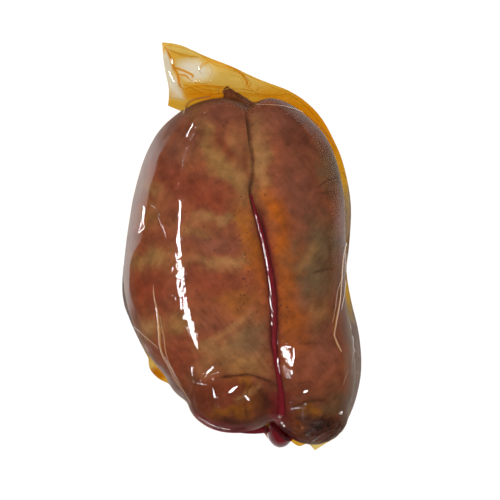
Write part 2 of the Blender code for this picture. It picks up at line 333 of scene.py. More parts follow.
def relax(
    mesh: bpy.types.Mesh, rounds: int, outward: bool = False, below: float | None = None
) -> None:
    """Smooths a mesh.

    Args:
        mesh: The mesh, changed in place.
        rounds: How many times each vertex moves halfway to its neighbours' middle.
        outward: True to keep only moves along the normal, so that hollows fill and bulges stay.
        below: Y in metres under which the mesh is smoothed, where not all of it is.
    """
    edges = np.empty(len(mesh.edges) * 2, np.int32)
    mesh.edges.foreach_get("vertices", edges)
    first, second = edges.reshape(-1, 2).T
    count = len(mesh.vertices)
    links = np.bincount(first, minlength=count) + np.bincount(second, minlength=count)
    points = mesh_points(mesh)
    strength = np.full((count, 1), RELAX_STEP)
    if below is not None:
        strength *= eased((below - points[:, 1:2]) / RELAX_FADE)
    for turn in range(rounds):
        total = np.empty_like(points)
        for axis in range(3):
            total[:, axis] = np.bincount(first, points[second, axis], count)
            total[:, axis] += np.bincount(second, points[first, axis], count)
        move = (total / np.maximum(links, 1)[:, None] - points) * strength
        if outward:
            if turn % NORMALS_EVERY == 0:
                move_points(mesh, points)
                normals = mesh_normals(mesh)
            move = normals * np.maximum((move * normals).sum(1), 0)[:, None]
        points = points + move
    move_points(mesh, points)


def keep_values(mesh: bpy.types.Mesh, name: str, values: np.ndarray) -> None:
    """Stores one number, or one colour, for each vertex."""
    if values.ndim == 1:
        layer = mesh.attributes.new(name, "FLOAT", "POINT")
        layer.data.foreach_set("value", values.astype(np.float32))
        return
    colours = np.ones((len(values), 4), np.float32)
    colours[:, :3] = values
    layer = mesh.color_attributes.new(name, "FLOAT_COLOR", "POINT")
    layer.data.foreach_set("color", colours.ravel())


def new_mesh(name: str, points: np.ndarray, faces: list) -> bpy.types.Mesh:
    """A mesh of these points and faces."""
    mesh = bpy.data.meshes.new(name)
    mesh.from_pydata(points.tolist(), [], faces)
    mesh.update()
    return mesh


def new_object(name: str, mesh: bpy.types.ID) -> bpy.types.Object:
    """An object at the origin, in the scene."""
    made = bpy.data.objects.new(name, mesh)
    bpy.context.scene.collection.objects.link(made)
    return made


def new_light(name: str, size: Point, watts: float) -> bpy.types.Object:
    """A rectangle of light, with its two sides in metres."""
    light = bpy.data.lights.new(name, "AREA")
    light.shape = "RECTANGLE"
    light.size, light.size_y = size
    light.energy = watts
    return new_object(name, light)


def settled(work: bmesh.types.BMesh, mesh: bpy.types.Mesh) -> bpy.types.Mesh:
    """Writes an edited mesh into a mesh and frees it."""
    work.to_mesh(mesh)
    work.free()
    return mesh


def joined(meshes: list[bpy.types.Mesh]) -> bpy.types.Mesh:
    """One mesh of several, which are then removed."""
    work = bmesh.new()
    for mesh in meshes:
        work.from_mesh(mesh)
        bpy.data.meshes.remove(mesh)
    return settled(work, bpy.data.meshes.new("joined"))


def with_modifiers(obj: bpy.types.Object) -> bpy.types.Mesh:
    """A plain mesh of an object as its modifiers leave it; the modifiers are then removed."""
    bpy.context.view_layer.update()
    graph = bpy.context.evaluated_depsgraph_get()
    mesh = bpy.data.meshes.new_from_object(obj.evaluated_get(graph))
    obj.modifiers.clear()
    return mesh


def remeshed(name: str, mesh: bpy.types.Mesh, voxel: float) -> bpy.types.Object:
    """One closed, even skin round overlapping closed shells.

    Args:
        name: Name of the new object.
        mesh: The shells.
        voxel: Size of the new faces, in metres.

    Returns:
        The object with the skin as its mesh.
    """
    made = new_object(name, mesh)
    remesh = made.modifiers.new("even", "REMESH")
    remesh.mode = "VOXEL"
    remesh.voxel_size = voxel
    made.data = with_modifiers(made)
    made.data.name = name
    return made


def node_copy(node: str) -> bpy.types.Mesh:
    """A welded copy of a CAD node's mesh."""
    work = bmesh.new()
    work.from_mesh(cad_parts[node].data)
    bmesh.ops.remove_doubles(work, verts=work.verts, dist=WELD)
    mesh = settled(work, bpy.data.meshes.new(node + "_copy"))
    mesh.materials.clear()
    return mesh


def finish_piece(piece: bpy.types.Object, material: bpy.types.Material) -> None:
    """Shades a piece smooth, dresses it and lets it ride on the body."""
    piece.data.materials.clear()
    piece.data.materials.append(material)
    piece.data.shade_smooth()
    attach(piece, BODY)
    LOG.info("%s: %d faces", piece.name, len(piece.data.polygons))


def connect(tree: bpy.types.NodeTree, socket: bpy.types.NodeSocket, value: object) -> None:
    """Gives an input socket a value, or links it from another socket."""
    if isinstance(value, bpy.types.NodeSocket):
        tree.links.new(value, socket)
    else:
        socket.default_value = value


def new_node(tree: bpy.types.NodeTree, kind: str, settings: dict | None) -> bpy.types.Node:
    """A node of a type, with its properties set."""
    node = tree.nodes.new(kind)
    for name, value in (settings or {}).items():
        setattr(node, name, value)
    return node


def math_node(tree: bpy.types.NodeTree, operation: str, terms: tuple) -> bpy.types.NodeSocket:
    """The result of a sum on one, two or three values or sockets."""
    node = new_node(tree, "ShaderNodeMath", {"operation": operation})
    for socket, term in zip(node.inputs, terms):
        connect(tree, socket, term)
    return node.outputs[0]


class GeometryTree:
    """A Geometry Nodes tree with named inputs that starts and ends with a mesh."""

    def __init__(self, name: str, inputs: dict[str, tuple[str, object]]) -> None:
        """Starts a tree.

        Args:
            name: The tree's name.
            inputs: For each input's title, its socket type and default.
        """
        self.tree = bpy.data.node_groups.new(name, "GeometryNodeTree")
        face = self.tree.interface
        face.new_socket("Mesh", in_out="INPUT", socket_type="NodeSocketGeometry")
        for title, (kind, value) in inputs.items():
            socket = face.new_socket(title, in_out="INPUT", socket_type=kind)
            if value is not None:
                socket.default_value = value
        face.new_socket("Mesh", in_out="OUTPUT", socket_type="NodeSocketGeometry")
        self.given = self.tree.nodes.new("NodeGroupInput").outputs

    def add(self, kind: str, settings: dict | None = None, **inputs: object) -> bpy.types.Node:
        """Adds a node.

        Args:
            kind: The node's whole type.
            settings: Properties of the node.
            **inputs: Sockets by name, with _ for a space: a value, or a socket to link from.

        Returns:
            The node.
        """
        node = new_node(self.tree, kind, settings)
        for name, value in inputs.items():
            socket = next(s for s in node.inputs if s.name == name.replace("_", " ") and s.enabled)
            connect(self.tree, socket, value)
        return node

    def named(self, name: str, kind: str = "FLOAT") -> bpy.types.NodeSocket:
        """Reads a named attribute."""
        node = self.add("GeometryNodeInputNamedAttribute", {"data_type": kind}, Name=name)
        return node.outputs["Attribute"]

    def math(self, operation: str, *terms: object) -> bpy.types.NodeSocket:
        """The result of a sum on values or sockets."""
        return math_node(self.tree, operation, terms)

    def end(self, geometry: bpy.types.NodeSocket) -> bpy.types.NodeTree:
        """Makes the geometry real, sets its material and closes the tree."""
        real = self.add("GeometryNodeRealizeInstances", Geometry=geometry)
        dressed = self.add(
            "GeometryNodeSetMaterial",
            Geometry=real.outputs["Geometry"],
            Material=self.given["Material"],
        )
        out = self.tree.nodes.new("NodeGroupOutput")
        self.tree.links.new(dressed.outputs["Geometry"], out.inputs["Mesh"])
        return self.tree


def grow(obj: bpy.types.Object, tree: bpy.types.NodeTree, **values: object) -> None:
    """Runs a Geometry Nodes tree on an object and keeps its result as a plain mesh.

    Args:
        obj: The object, whose mesh is replaced.
        tree: The tree.
        **values: Values of its inputs by title, with _ for a space.
    """
    modifier = obj.modifiers.new(tree.name, "NODES")
    modifier.node_group = tree
    sockets = {item.name: item for item in tree.interface.items_tree if item.in_out == "INPUT"}
    for title, value in values.items():
        modifier[sockets[title.replace("_", " ")].identifier] = value
    obj.data = with_modifiers(obj)
    obj.data.name = obj.name


def ribbon_tree() -> bpy.types.NodeTree:
    """Sweeps a low ridge along each line of a mesh, as wide as its points say."""
    inputs = {"Crown": ("NodeSocketFloat", 0.0), "Material": ("NodeSocketMaterial", None)}
    tree = GeometryTree("film_ribbons", inputs)
    line = tree.add("GeometryNodeCurvePrimitiveLine", Start=(0, -1, 0), End=(0, 1, 0))
    across = tree.add("GeometryNodeResampleCurve", Curve=line.outputs["Curve"], Count=5)
    place = tree.add("GeometryNodeInputPosition").outputs["Position"]
    side = tree.add("ShaderNodeSeparateXYZ", Vector=place).outputs["Y"]
    keep = tree.add(
        "GeometryNodeStoreNamedAttribute",
        {"data_type": "FLOAT", "domain": "POINT"},
        Geometry=across.outputs["Curve"],
        Name="across",
        Value=side,
    )
    arch = tree.math("SUBTRACT", 1.0, tree.math("MULTIPLY", side, side))
    bend = tree.add("ShaderNodeCombineXYZ", X=tree.math("MULTIPLY", arch, tree.given["Crown"]))
    profile = tree.add(
        "GeometryNodeSetPosition", Geometry=keep.outputs["Geometry"], Offset=bend.outputs["Vector"]
    )
    route = tree.add("GeometryNodeMeshToCurve", Mesh=tree.given["Mesh"])
    upright = tree.add(
        "GeometryNodeSetCurveNormal",
        {"mode": "FREE"},
        Curve=route.outputs["Curve"],
        Normal=tree.named("up", "FLOAT_VECTOR"),
    )
    swept = tree.add(
        "GeometryNodeCurveToMesh",
        Curve=upright.outputs["Curve"],
        Profile_Curve=profile.outputs["Geometry"],
        Scale=tree.named("wide"),
    )
    return tree.end(swept.outputs["Mesh"])


def speck_tree() -> bpy.types.NodeTree:
    """Strews flattened grains over a mesh, as densely as an attribute of it says."""
    inputs = {
        "Density": ("NodeSocketFloat", 1.0e5),
        "Largest": ("NodeSocketFloat", 0.0008),
        "Flatness": ("NodeSocketFloat", 0.35),
        "Seed": ("NodeSocketInt", 1),
        "Material": ("NodeSocketMaterial", None),
    }
    tree = GeometryTree("specks", inputs)
    points = tree.add(
        "GeometryNodeDistributePointsOnFaces",
        {"distribute_method": "RANDOM"},
        Mesh=tree.given["Mesh"],
        Density=tree.math("MULTIPLY", tree.given["Density"], tree.named("speck")),
        Seed=tree.given["Seed"],
    )
    grain = tree.add("GeometryNodeMeshIcoSphere", Radius=1.0, Subdivisions=1)
    random = tree.add("FunctionNodeRandomValue", {"data_type": "FLOAT"}, Min=0.25, Max=1.0)
    size = tree.math("MULTIPLY", random.outputs[1], tree.given["Largest"])
    thin = tree.math("MULTIPLY", size, tree.given["Flatness"])
    scale = tree.add("ShaderNodeCombineXYZ", X=size, Y=size, Z=thin)
    strewn = tree.add(
        "GeometryNodeInstanceOnPoints",
        Points=points.outputs["Points"],
        Instance=grain.outputs["Mesh"],
        Rotation=points.outputs["Rotation"],
        Scale=scale.outputs["Vector"],
    )
    return tree.end(strewn.outputs["Instances"])


def seen_place(surface: BVHTree, x: float, y: float) -> tuple[Vector, Vector] | None:
    """Where a point that the camera sees lies on a surface.

    Args:
        surface: The surface.
        x: Its X where the line of sight passes SEEN_HEIGHT, in millimetres.
        y: Its Y there.

    Returns:
        The place and the normal there, or None beside the surface.
    """
    aim = Vector((x * MM, y * MM, SEEN_HEIGHT)) - EYE
    place, normal, _, _ = surface.ray_cast(EYE, aim)
    return None if place is None else (place, normal)


@dataclass(frozen=True)
class Strand:
    """A line on the film as it is seen: X, Y and half its width at each point, in millimetres."""

    line: tuple[tuple[float, float, float], ...]
    strength: float = 1.0
    broken: float = 0.0


def ribbons(
    name: str, strands: tuple[Strand, ...], surface: BVHTree, lift: float, crown: float,
    material: bpy.types.Material,
) -> bpy.types.Object:
    """Ridges or flat ribbons that lie on a surface.

    Args:
        name: Name of the object.
        strands: Where they run.
        surface: The surface that they lie on.
        lift: How far they lie above it, in metres.
        crown: Height of the ridge, as a share of half its width.
        material: Their material.

    Returns:
        The object.
    """
    places, edges, wide, strength, broken, up = [], [], [], [], [], []
    for strand in strands:
        last = None
        for x, y, half in smooth_line(strand.line, STRAND_STEPS):
            met = seen_place(surface, x, y)
            if met is None:
                last = None
                continue
            places.append(met[0] + met[1] * lift)
            up.append(met[1])
            wide.append(max(half, NARROWEST_STRAND) * MM)
            strength.append(strand.strength)
            broken.append(strand.broken)
            if last is not None:
                edges.append((last, len(places) - 1))
            last = len(places) - 1
    mesh = bpy.data.meshes.new(name)
    mesh.from_pydata(places, edges, [])
    for title, kind, values in (
        ("wide", "FLOAT", wide),
        ("strength", "FLOAT", strength),
        ("broken", "FLOAT", broken),
        ("up", "FLOAT_VECTOR", up),
    ):
        layer = mesh.attributes.new(title, kind, "POINT")
        values = np.array(values, np.float32).ravel()
        layer.data.foreach_set("vector" if kind == "FLOAT_VECTOR" else "value", values)
    made = new_object(name, mesh)
    grow(made, ribbon_tree(), Crown=crown, Material=material)
    return made


class Graph:
    """A shader node tree that is written from left to right."""

    def __init__(self, tree: bpy.types.NodeTree) -> None:
        """Starts an empty tree."""
        self.tree = tree
        tree.nodes.clear()

    def add(self, kind: str, settings: dict | None = None, **inputs: object) -> bpy.types.Node:
        """Adds a node.

        Args:
            kind: The node's type, without its ShaderNode prefix.
            settings: Properties of the node.
            **inputs: Sockets by name, with _ for a space: a value, or a socket to link from.

        Returns:
            The node.
        """
        node = new_node(self.tree, "ShaderNode" + kind, settings)
        for name, value in inputs.items():
            self.feed(node, name.replace("_", " "), value)
        return node

    def feed(self, node: bpy.types.Node, name: str | int, value: object) -> None:
        """Sets or links one input socket."""
        connect(self.tree, node.inputs[name], value)

    def math(self, operation: str, *terms: object) -> bpy.types.NodeSocket:
        """The result of a sum on values or sockets."""
        return math_node(self.tree, operation, terms)

    def vertex_value(self, name: str, output: str = "Fac") -> bpy.types.NodeSocket:
        """What the mesh keeps under a name for each vertex."""
        return self.add("Attribute", {"attribute_name": name}).outputs[output]

    def ranged(
        self, value: bpy.types.NodeSocket, span: Point, onto: Point = (0.0, 1.0), clamp: bool = True
    ) -> bpy.types.NodeSocket:
        """A value moved from one span to another.

        Args:
            value: The value.
            span: The span that it comes from.
            onto: The span that it is moved to.
            clamp: True to keep it inside that span.

        Returns:
            The moved value.
        """
        node = self.add("MapRange", {"clamp": clamp}, Value=value)
        node.inputs["From Min"].default_value, node.inputs["From Max"].default_value = span
        node.inputs["To Min"].default_value, node.inputs["To Max"].default_value = onto
        return node.outputs["Result"]

    def bump(
        self, share: float, relief: float, height: bpy.types.NodeSocket, **inputs: object
    ) -> bpy.types.NodeSocket:
        """The normal of a rough surface.

        Args:
            share: How much of the relief shows.
            relief: Its height, in metres.
            height: The socket that gives the relief.
            **inputs: Other sockets of the node by name, with _ for a space.

        Returns:
            The bumped normal.
        """
        node = self.add("Bump", Strength=share, Distance=relief, Height=height, **inputs)
        return node.outputs["Normal"]

    def paste(self, colour: object, roughness: float, **inputs: object) -> None:
        """Ends the material of a solid thing.

        Args:
            colour: Its colour, or the socket that gives it.
            roughness: Its roughness.
            **inputs: Other sockets of the shader by name, with _ for a space.
        """
        shader = self.add(
            "BsdfPrincipled", Base_Color=colour, Roughness=roughness, Metallic=0.0, **inputs
        )
        self.add("OutputMaterial", Surface=shader.outputs["BSDF"])

    def see_through(self, tint: object, body: object, share: object) -> bpy.types.NodeSocket:
        """Film that lets tinted light through and is cloudy for a share.

        Args:
            tint: Colour of the light that passes.
            body: Colour of the cloudy share.
            share: How much of it is cloudy.

        Returns:
            The shader.
        """
        clear = self.add("BsdfTransparent", Color=tint)
        cloudy = self.add("BsdfDiffuse", Color=body)
        face = self.add("MixShader", Fac=share)
        self.feed(face, 1, clear.outputs["BSDF"])
        self.feed(face, 2, cloudy.outputs["BSDF"])
        return face.outputs["Shader"]

    def gloss_over(
        self, under: bpy.types.NodeSocket, index: float, roughness: float, share: object,
        normal: bpy.types.NodeSocket | None = None,
    ) -> None:
        """Ends a film's material: gloss over a shader, on the side that faces out.

        Args:
            under: The shader below the gloss.
            index: Refractive index of the film.
            roughness: Roughness of the gloss.
            share: How much of the gloss shows, as a number or a socket.
            normal: The bumped normal, if there is one.
        """
        gloss = self.add("BsdfGlossy", Roughness=roughness)
        fresnel = self.add("Fresnel", IOR=index)
        if normal is not None:
            self.feed(gloss, "Normal", normal)
            self.feed(fresnel, "Normal", normal)
        outside = self.math("SUBTRACT", 1.0, self.add("NewGeometry").outputs["Backfacing"])
        shine = self.math("MULTIPLY", fresnel.outputs["Fac"], self.math("MULTIPLY", share, outside))
        both = self.add("MixShader", Fac=shine)
        self.feed(both, 1, under)
        self.feed(both, 2, gloss.outputs["BSDF"])
        self.add("OutputMaterial", Surface=both.outputs["Shader"])

    def mix(self, share: object, first: object, second: object) -> bpy.types.NodeSocket:
        """A colour between two colours."""
        node = self.add("Mix", {"data_type": "RGBA"})
        self.feed(node, 0, share)
        self.feed(node, 6, first)
        self.feed(node, 7, second)
        return node.outputs[2]


def new_group(name: str, inputs: dict[str, float], output: str) -> tuple[bpy.types.NodeTree, Graph]:
    """A shader group with number inputs and one number output."""
    tree = bpy.data.node_groups.new(name, "ShaderNodeTree")
    graph = Graph(tree)
    for title, value in inputs.items():
        socket = tree.interface.new_socket(title, in_out="INPUT", socket_type="NodeSocketFloat")
        socket.default_value = value
    tree.interface.new_socket(output, in_out="OUTPUT", socket_type="NodeSocketFloat")
    return tree, graph


@dataclass(frozen=True)
class Effects:
    """Relief that more than one finish uses, as shader groups."""

    lumps: bpy.types.NodeTree
    pores: bpy.types.NodeTree

    @classmethod
    def build(cls) -> "Effects":
        """Makes both groups."""
        return cls(cls.make_lumps(), cls.make_pores())

    @staticmethod
    def make_lumps() -> bpy.types.NodeTree:
        """Soft uneven lumps, each of a size in metres."""
        tree, graph = new_group("soft_lumps", {"Size": 0.01, "Detail": 3.0}, "Height")
        given = tree.nodes.new("NodeGroupInput")
        place = graph.add("TexCoord").outputs["Object"]
        scale = graph.math("DIVIDE", 1.0, given.outputs["Size"])
        lumps = graph.add("TexNoise", Vector=place, Scale=scale, Detail=given.outputs["Detail"])
        out = tree.nodes.new("NodeGroupOutput")
        tree.links.new(lumps.outputs["Fac"], out.inputs["Height"])
        return tree

    @staticmethod
    def make_pores() -> bpy.types.NodeTree:
        """Small round pimples, each of a size in metres, more of them where clouds lie."""
        tree, graph = new_group("pimples", {"Size": 0.0015, "Cloud": 0.012}, "Height")
        given = tree.nodes.new("NodeGroupInput")
        place = graph.add("TexCoord").outputs["Object"]
        scale = graph.math("DIVIDE", 1.0, given.outputs["Size"])
        cell = graph.add("TexVoronoi", {"feature": "SMOOTH_F1"}, Vector=place, Scale=scale)
        round_top = graph.math("SUBTRACT", PIMPLE_TOP, cell.outputs["Distance"])
        wide = graph.math("DIVIDE", 1.0, given.outputs["Cloud"])
        clouds = graph.add("TexNoise", Vector=place, Scale=wide, Detail=2.0)
        where = graph.ranged(clouds.outputs["Fac"], PIMPLE_CLOUDS)
        height = graph.math("MULTIPLY", round_top, where)
        out = tree.nodes.new("NodeGroupOutput")
        tree.links.new(height, out.inputs["Height"])
        return tree

    @staticmethod
    def place(graph: Graph, group: bpy.types.NodeTree, **values: float) -> bpy.types.NodeSocket:
        """Puts a group in a material with its own values and gives its output."""
        node = graph.add("Group", {"node_tree": group})
        for name, value in values.items():
            graph.feed(node, name, value)
        return node.outputs[0]


def new_material(name: str) -> tuple[bpy.types.Material, Graph]:
    """An empty node material."""
    material = bpy.data.materials.new(name)
    material.use_nodes = True
    return material, Graph(material.node_tree)


@dataclass(frozen=True)
class CasingFinish:
    """Moist casing over chilli paste: its tones, with painted shade and a painted highlight, are
    painted on the mesh, its grain is added.
    """

    effects: Effects
    roughness: float = 0.5
    grain: float = 1.3 * MM
    mottle: float = 8 * MM
    fibre_turn: float = 52.0
    fibre: tuple[float, float, float] = (9 * MM, 2.0 * MM, 5 * MM)
    fibre_field: float = 38 * MM
    mottle_share: float = 0.60
    grain_share: float = 0.14
    fibre_share: float = 0.26
    fields: Point = (0.42, 0.58)
    pattern: Point = (0.3, 0.7)
    contrast: Point = (0.56, 1.44)
    relief: float = 0.3 * MM
    relief_share: float = 0.4
    specular: float = 0.05

    def build(self) -> bpy.types.Material:
        """Makes the material."""
        material, graph = new_material("casing")
        lumps = self.effects.lumps
        mottle = Effects.place(graph, lumps, Size=self.mottle, Detail=6.0)
        grain = Effects.place(graph, lumps, Size=self.grain, Detail=2.0)
        fields = Effects.place(graph, lumps, Size=self.fibre_field, Detail=1.0)
        ways = [self.strands(graph, turn) for turn in (self.fibre_turn, -self.fibre_turn)]
        fibre = graph.mix(graph.ranged(fields, self.fields), *ways)
        pattern = graph.math("MULTIPLY", fibre, self.fibre_share)
        pattern = graph.math("MULTIPLY_ADD", grain, self.grain_share, pattern)
        pattern = graph.math("MULTIPLY_ADD", mottle, self.mottle_share, pattern)
        level = graph.ranged(pattern, self.pattern, self.contrast, clamp=False)
        tone = graph.add("HueSaturation", Color=graph.vertex_value("tone", "Color"), Value=level)
        bump = graph.bump(self.relief_share, self.relief, grain)
        graph.paste(
            tone.outputs["Color"], self.roughness, Normal=bump, Specular_IOR_Level=self.specular
        )
        return material

    def strands(self, graph: Graph, turn: float) -> bpy.types.NodeSocket:
        """Long fibres that run at an angle to X, in degrees."""
        place = graph.add(
            "Mapping", {"vector_type": "TEXTURE"}, Vector=graph.add("TexCoord").outputs["Object"]
        )
        graph.feed(place, "Rotation", (0.0, 0.0, math.radians(turn)))
        graph.feed(place, "Scale", self.fibre)
        way = place.outputs["Vector"]
        return graph.add("TexNoise", Vector=way, Scale=1.0, Detail=4.0).outputs["Fac"]


@dataclass(frozen=True)
class JuiceFinish:
    """Dark crimson meat juice, wet and smooth."""

    effects: Effects
    deep: Colour = (0.085, 0.005, 0.009, 1.0)
    thin: Colour = (0.180, 0.014, 0.018, 1.0)
    roughness: float = 0.12
    lump: float = 5 * MM
    relief: float = 0.8 * MM
    relief_share: float = 0.5
    specular: float = 0.1

    def build(self) -> bpy.types.Material:
        """Makes the material."""
        material, graph = new_material("juice_red")
        lumps = Effects.place(graph, self.effects.lumps, Size=self.lump, Detail=3.0)
        colour = graph.mix(lumps, self.deep, self.thin)
        bump = graph.bump(self.relief_share, self.relief, lumps)
        graph.paste(colour, self.roughness, Normal=bump, Specular_IOR_Level=self.specular)
        return material


@dataclass(frozen=True)
class SkinFilmFinish:
    """The clear amber film where it lies tight on the meat: gloss over what shows through."""

    effects: Effects
    index: float = 1.72
    roughness: float = 0.045
    pimple: float = 1.9 * MM
    cloud: float = 10 * MM
    ripple: float = 9 * MM
    ripple_share: float = 0.9
    relief: float = 0.2 * MM
    relief_share: float = 0.9

    def build(self) -> bpy.types.Material:
        """Makes the material."""
        material, graph = new_material("skin_film")
        pimples = Effects.place(graph, self.effects.pores, Size=self.pimple, Cloud=self.cloud)
        fine = graph.math("MULTIPLY", pimples, graph.vertex_value("pimpled"))
        ripple = Effects.place(graph, self.effects.lumps, Size=self.ripple, Detail=1.0)
        height = graph.math("MULTIPLY_ADD", ripple, self.ripple_share, fine)
        bump = graph.bump(self.relief_share, self.relief, height)
        clear = graph.add("BsdfTransparent", Color=graph.vertex_value("tint", "Color"))
        sheen = graph.vertex_value("sheen")
        graph.gloss_over(clear.outputs["BSDF"], self.index, self.roughness, sheen, bump)
        return material


@dataclass(frozen=True)
class GlintFinish:
    """Small creases of the film that tip towards the light and mirror it."""

    effects: Effects
    index: float = 1.9
    roughness: float = 0.05
    grain: float = 1.6 * MM
    relief: float = 0.03 * MM
    fade: float = 4.0
    fleck: float = 1.2 * MM
    ragged: float = 0.16
    gap: Point = (0.50, 0.47)

    def build(self) -> bpy.types.Material:
        """Makes the material."""
        material, graph = new_material("film_glints")
        facing = graph.vertex_value("facing", "Vector")
        grain = Effects.place(graph, self.effects.lumps, Size=self.grain, Detail=2.0)
        bump = graph.bump(1.0, self.relief, grain, Normal=facing)
        clear = graph.add("BsdfTransparent", Color=WHITE).outputs["BSDF"]
        away = graph.math("ABSOLUTE", graph.vertex_value("across"))
        fade = graph.math("SUBTRACT", 1.0, graph.math("POWER", away, self.fade))
        flecks = Effects.place(graph, self.effects.lumps, Size=self.fleck, Detail=1.0)
        dense = graph.math("SUBTRACT", flecks, graph.math("MULTIPLY", away, self.ragged))
        gaps = graph.math("MULTIPLY", graph.vertex_value("broken"), graph.ranged(dense, self.gap))
        kept = graph.math("SUBTRACT", 1.0, gaps)
        strength = graph.math("MULTIPLY", graph.vertex_value("strength"), fade)
        share = graph.math("MULTIPLY", strength, kept)
        graph.gloss_over(clear, self.index, self.roughness, share, bump)
        return material


@dataclass(frozen=True)
class TuckFinish:
    """A standing crease of the film, where several layers make it golden."""

    name: str = "film_tucks"
    tint: Colour = (0.82, 0.46, 0.14, 1.0)
    body: Colour = (0.60, 0.29, 0.10, 1.0)
    depth: float = 0.75
    index: float = 1.8
    roughness: float = 0.08

    def build(self) -> bpy.types.Material:
        """Makes the material."""
        material, graph = new_material(self.name)
        away = graph.math("ABSOLUTE", graph.vertex_value("across"))
        middle = graph.math("SUBTRACT", 1.0, graph.math("POWER", away, 2.0))
        middle = graph.math("MULTIPLY", middle, graph.vertex_value("strength"))
        tint = graph.mix(middle, WHITE, self.tint)
        face = graph.see_through(tint, self.body, graph.math("MULTIPLY", middle, self.depth))
        graph.gloss_over(face, self.index, self.roughness, 1.0)
        return material


@dataclass(frozen=True)
class SpeckFinish:
    """Dark pores and grains of chilli."""

    colour: Colour = (0.055, 0.012, 0.006, 1.0)
    roughness: float = 0.7

    def build(self) -> bpy.types.Material:
        """Makes the material."""
        material, graph = new_material("specks")
        graph.paste(self.colour, self.roughness)
        return material


@dataclass(frozen=True)
class AmberFilmFinish:
    """Loose amber film, tinted by how many layers lie on each other."""

    effects: Effects
    index: float = 1.5
    roughness: float = 0.08
    sheen: float = 0.8
    cloudy: float = 0.14
    crumple: float = 5 * MM
    relief: float = 1.0 * MM
    relief_share: float = 0.4

    def build(self) -> bpy.types.Material:
        """Makes the material."""
        material, graph = new_material("amber_film")
        tint = graph.vertex_value("tint", "Color")
        crumple = Effects.place(graph, self.effects.lumps, Size=self.crumple, Detail=3.0)
        bump = graph.bump(self.relief_share, self.relief, crumple)
        face = graph.see_through(tint, tint, self.cloudy)
        graph.gloss_over(face, self.index, self.roughness, self.sheen, bump)
        return material


@dataclass(frozen=True)
class Lobe:
    """One lobe of the pouch: a sphere whose rings are stretched between two rails, in millimetres."""

    head: float
    foot: float
    rise: float
    foot_sink: float
    crown: float
    fullness: Point
    edges: tuple[Point, ...]
    widest: float = 34.0
    drop: float = 40.0
    under_fullness: float = 2.7
    bluntness: float = 0.58
    sink_turns: Point = (100.0, 150.0)
    rings: int = 120
    sides: int = 160

    def points(self) -> np.ndarray:
        """Points of the rings from head to foot, then both poles."""
        turns = np.linspace(0, math.pi, self.rings + 1)
        edges = smooth_between(np.array(self.edges), turns / math.pi * (len(self.edges) - 1))
        width = np.maximum(edges[:, 1] - edges[:, 0], 0)
        crown = edges[:, 0] + width * self.crown
        swell = np.maximum(np.sin(turns), 0) ** self.bluntness
        low, high = np.radians(self.sink_turns)
        rise = self.rise * swell * (1 - self.foot_sink * eased((turns - low) / (high - low)))
        along = (self.head + self.foot) / 2 + (self.head - self.foot) / 2 * np.cos(turns)
        around = np.linspace(0, 2 * math.pi, self.sides, endpoint=False)
        rows = []
        for ring in range(1, self.rings):
            right = np.cos(around) > 0
            upper = np.sin(around) >= 0
            span = np.where(right, width[ring] * (1 - self.crown), width[ring] * self.crown)
            full = np.where(right, self.fullness[1], self.fullness[0])
            full = np.where(upper, full, self.under_fullness)
            across = np.sign(np.cos(around)) * np.abs(np.cos(around)) ** (2 / full)
            above = np.sign(np.sin(around)) * np.abs(np.sin(around)) ** (2 / full)
            tall = np.where(upper, rise[ring], self.drop * swell[ring])
            x = crown[ring] + span * across
            rows.append(np.stack([x, np.full_like(x, along[ring]), self.widest + tall * above], 1))
        poles = [(crown[0], along[0], self.widest), (crown[-1], along[-1], self.widest)]
        return np.vstack([*rows, poles]) * MM

    def shell(self) -> bpy.types.Mesh:
        """The lobe as a closed mesh."""
        points = self.points()
        first, last = len(points) - 2, len(points) - 1
        side = range(self.sides)
        faces = []
        for ring in range(self.rings - 2):
            low, high = ring * self.sides, (ring + 1) * self.sides
            beside = [(i + 1) % self.sides for i in side]
            faces += [(low + i, low + k, high + k, high + i) for i, k in zip(side, beside)]
        end = (self.rings - 2) * self.sides
        faces += [(first, (i + 1) % self.sides, i) for i in side]
        faces += [(last, end + i, end + (i + 1) % self.sides) for i in side]
        return outward(new_mesh("lobe", points, faces))


def outward(mesh: bpy.types.Mesh) -> bpy.types.Mesh:
    """Turns a closed mesh's faces to point out."""
    work = bmesh.new()
    work.from_mesh(mesh)
    bmesh.ops.recalc_face_normals(work, faces=work.faces)
    return settled(work, mesh)


def ellipsoid(middle: tuple, radii: tuple) -> bpy.types.Mesh:
    """A stretched sphere, in millimetres."""
    work = bmesh.new()
    bmesh.ops.create_uvsphere(work, u_segments=64, v_segments=40, radius=1)
    for vert in work.verts:
        vert.co = Vector([(m + r * c) * MM for m, r, c in zip(middle, radii, vert.co)])
    return settled(work, bpy.data.meshes.new("ellipsoid"))


def cone(root: Vector, tip: Vector, radii: Point) -> bpy.types.Mesh:
    """A closed cone between two points, in metres."""
    run = tip - root
    work = bmesh.new()
    bmesh.ops.create_cone(
        work, cap_ends=True, segments=40, radius1=radii[0], radius2=radii[1], depth=run.length
    )
    turn = run.to_track_quat("Z", "Y").to_matrix().to_4x4()
    turn.translation = (root + tip) / 2
    work.transform(turn)
    return settled(work, bpy.data.meshes.new("cone"))


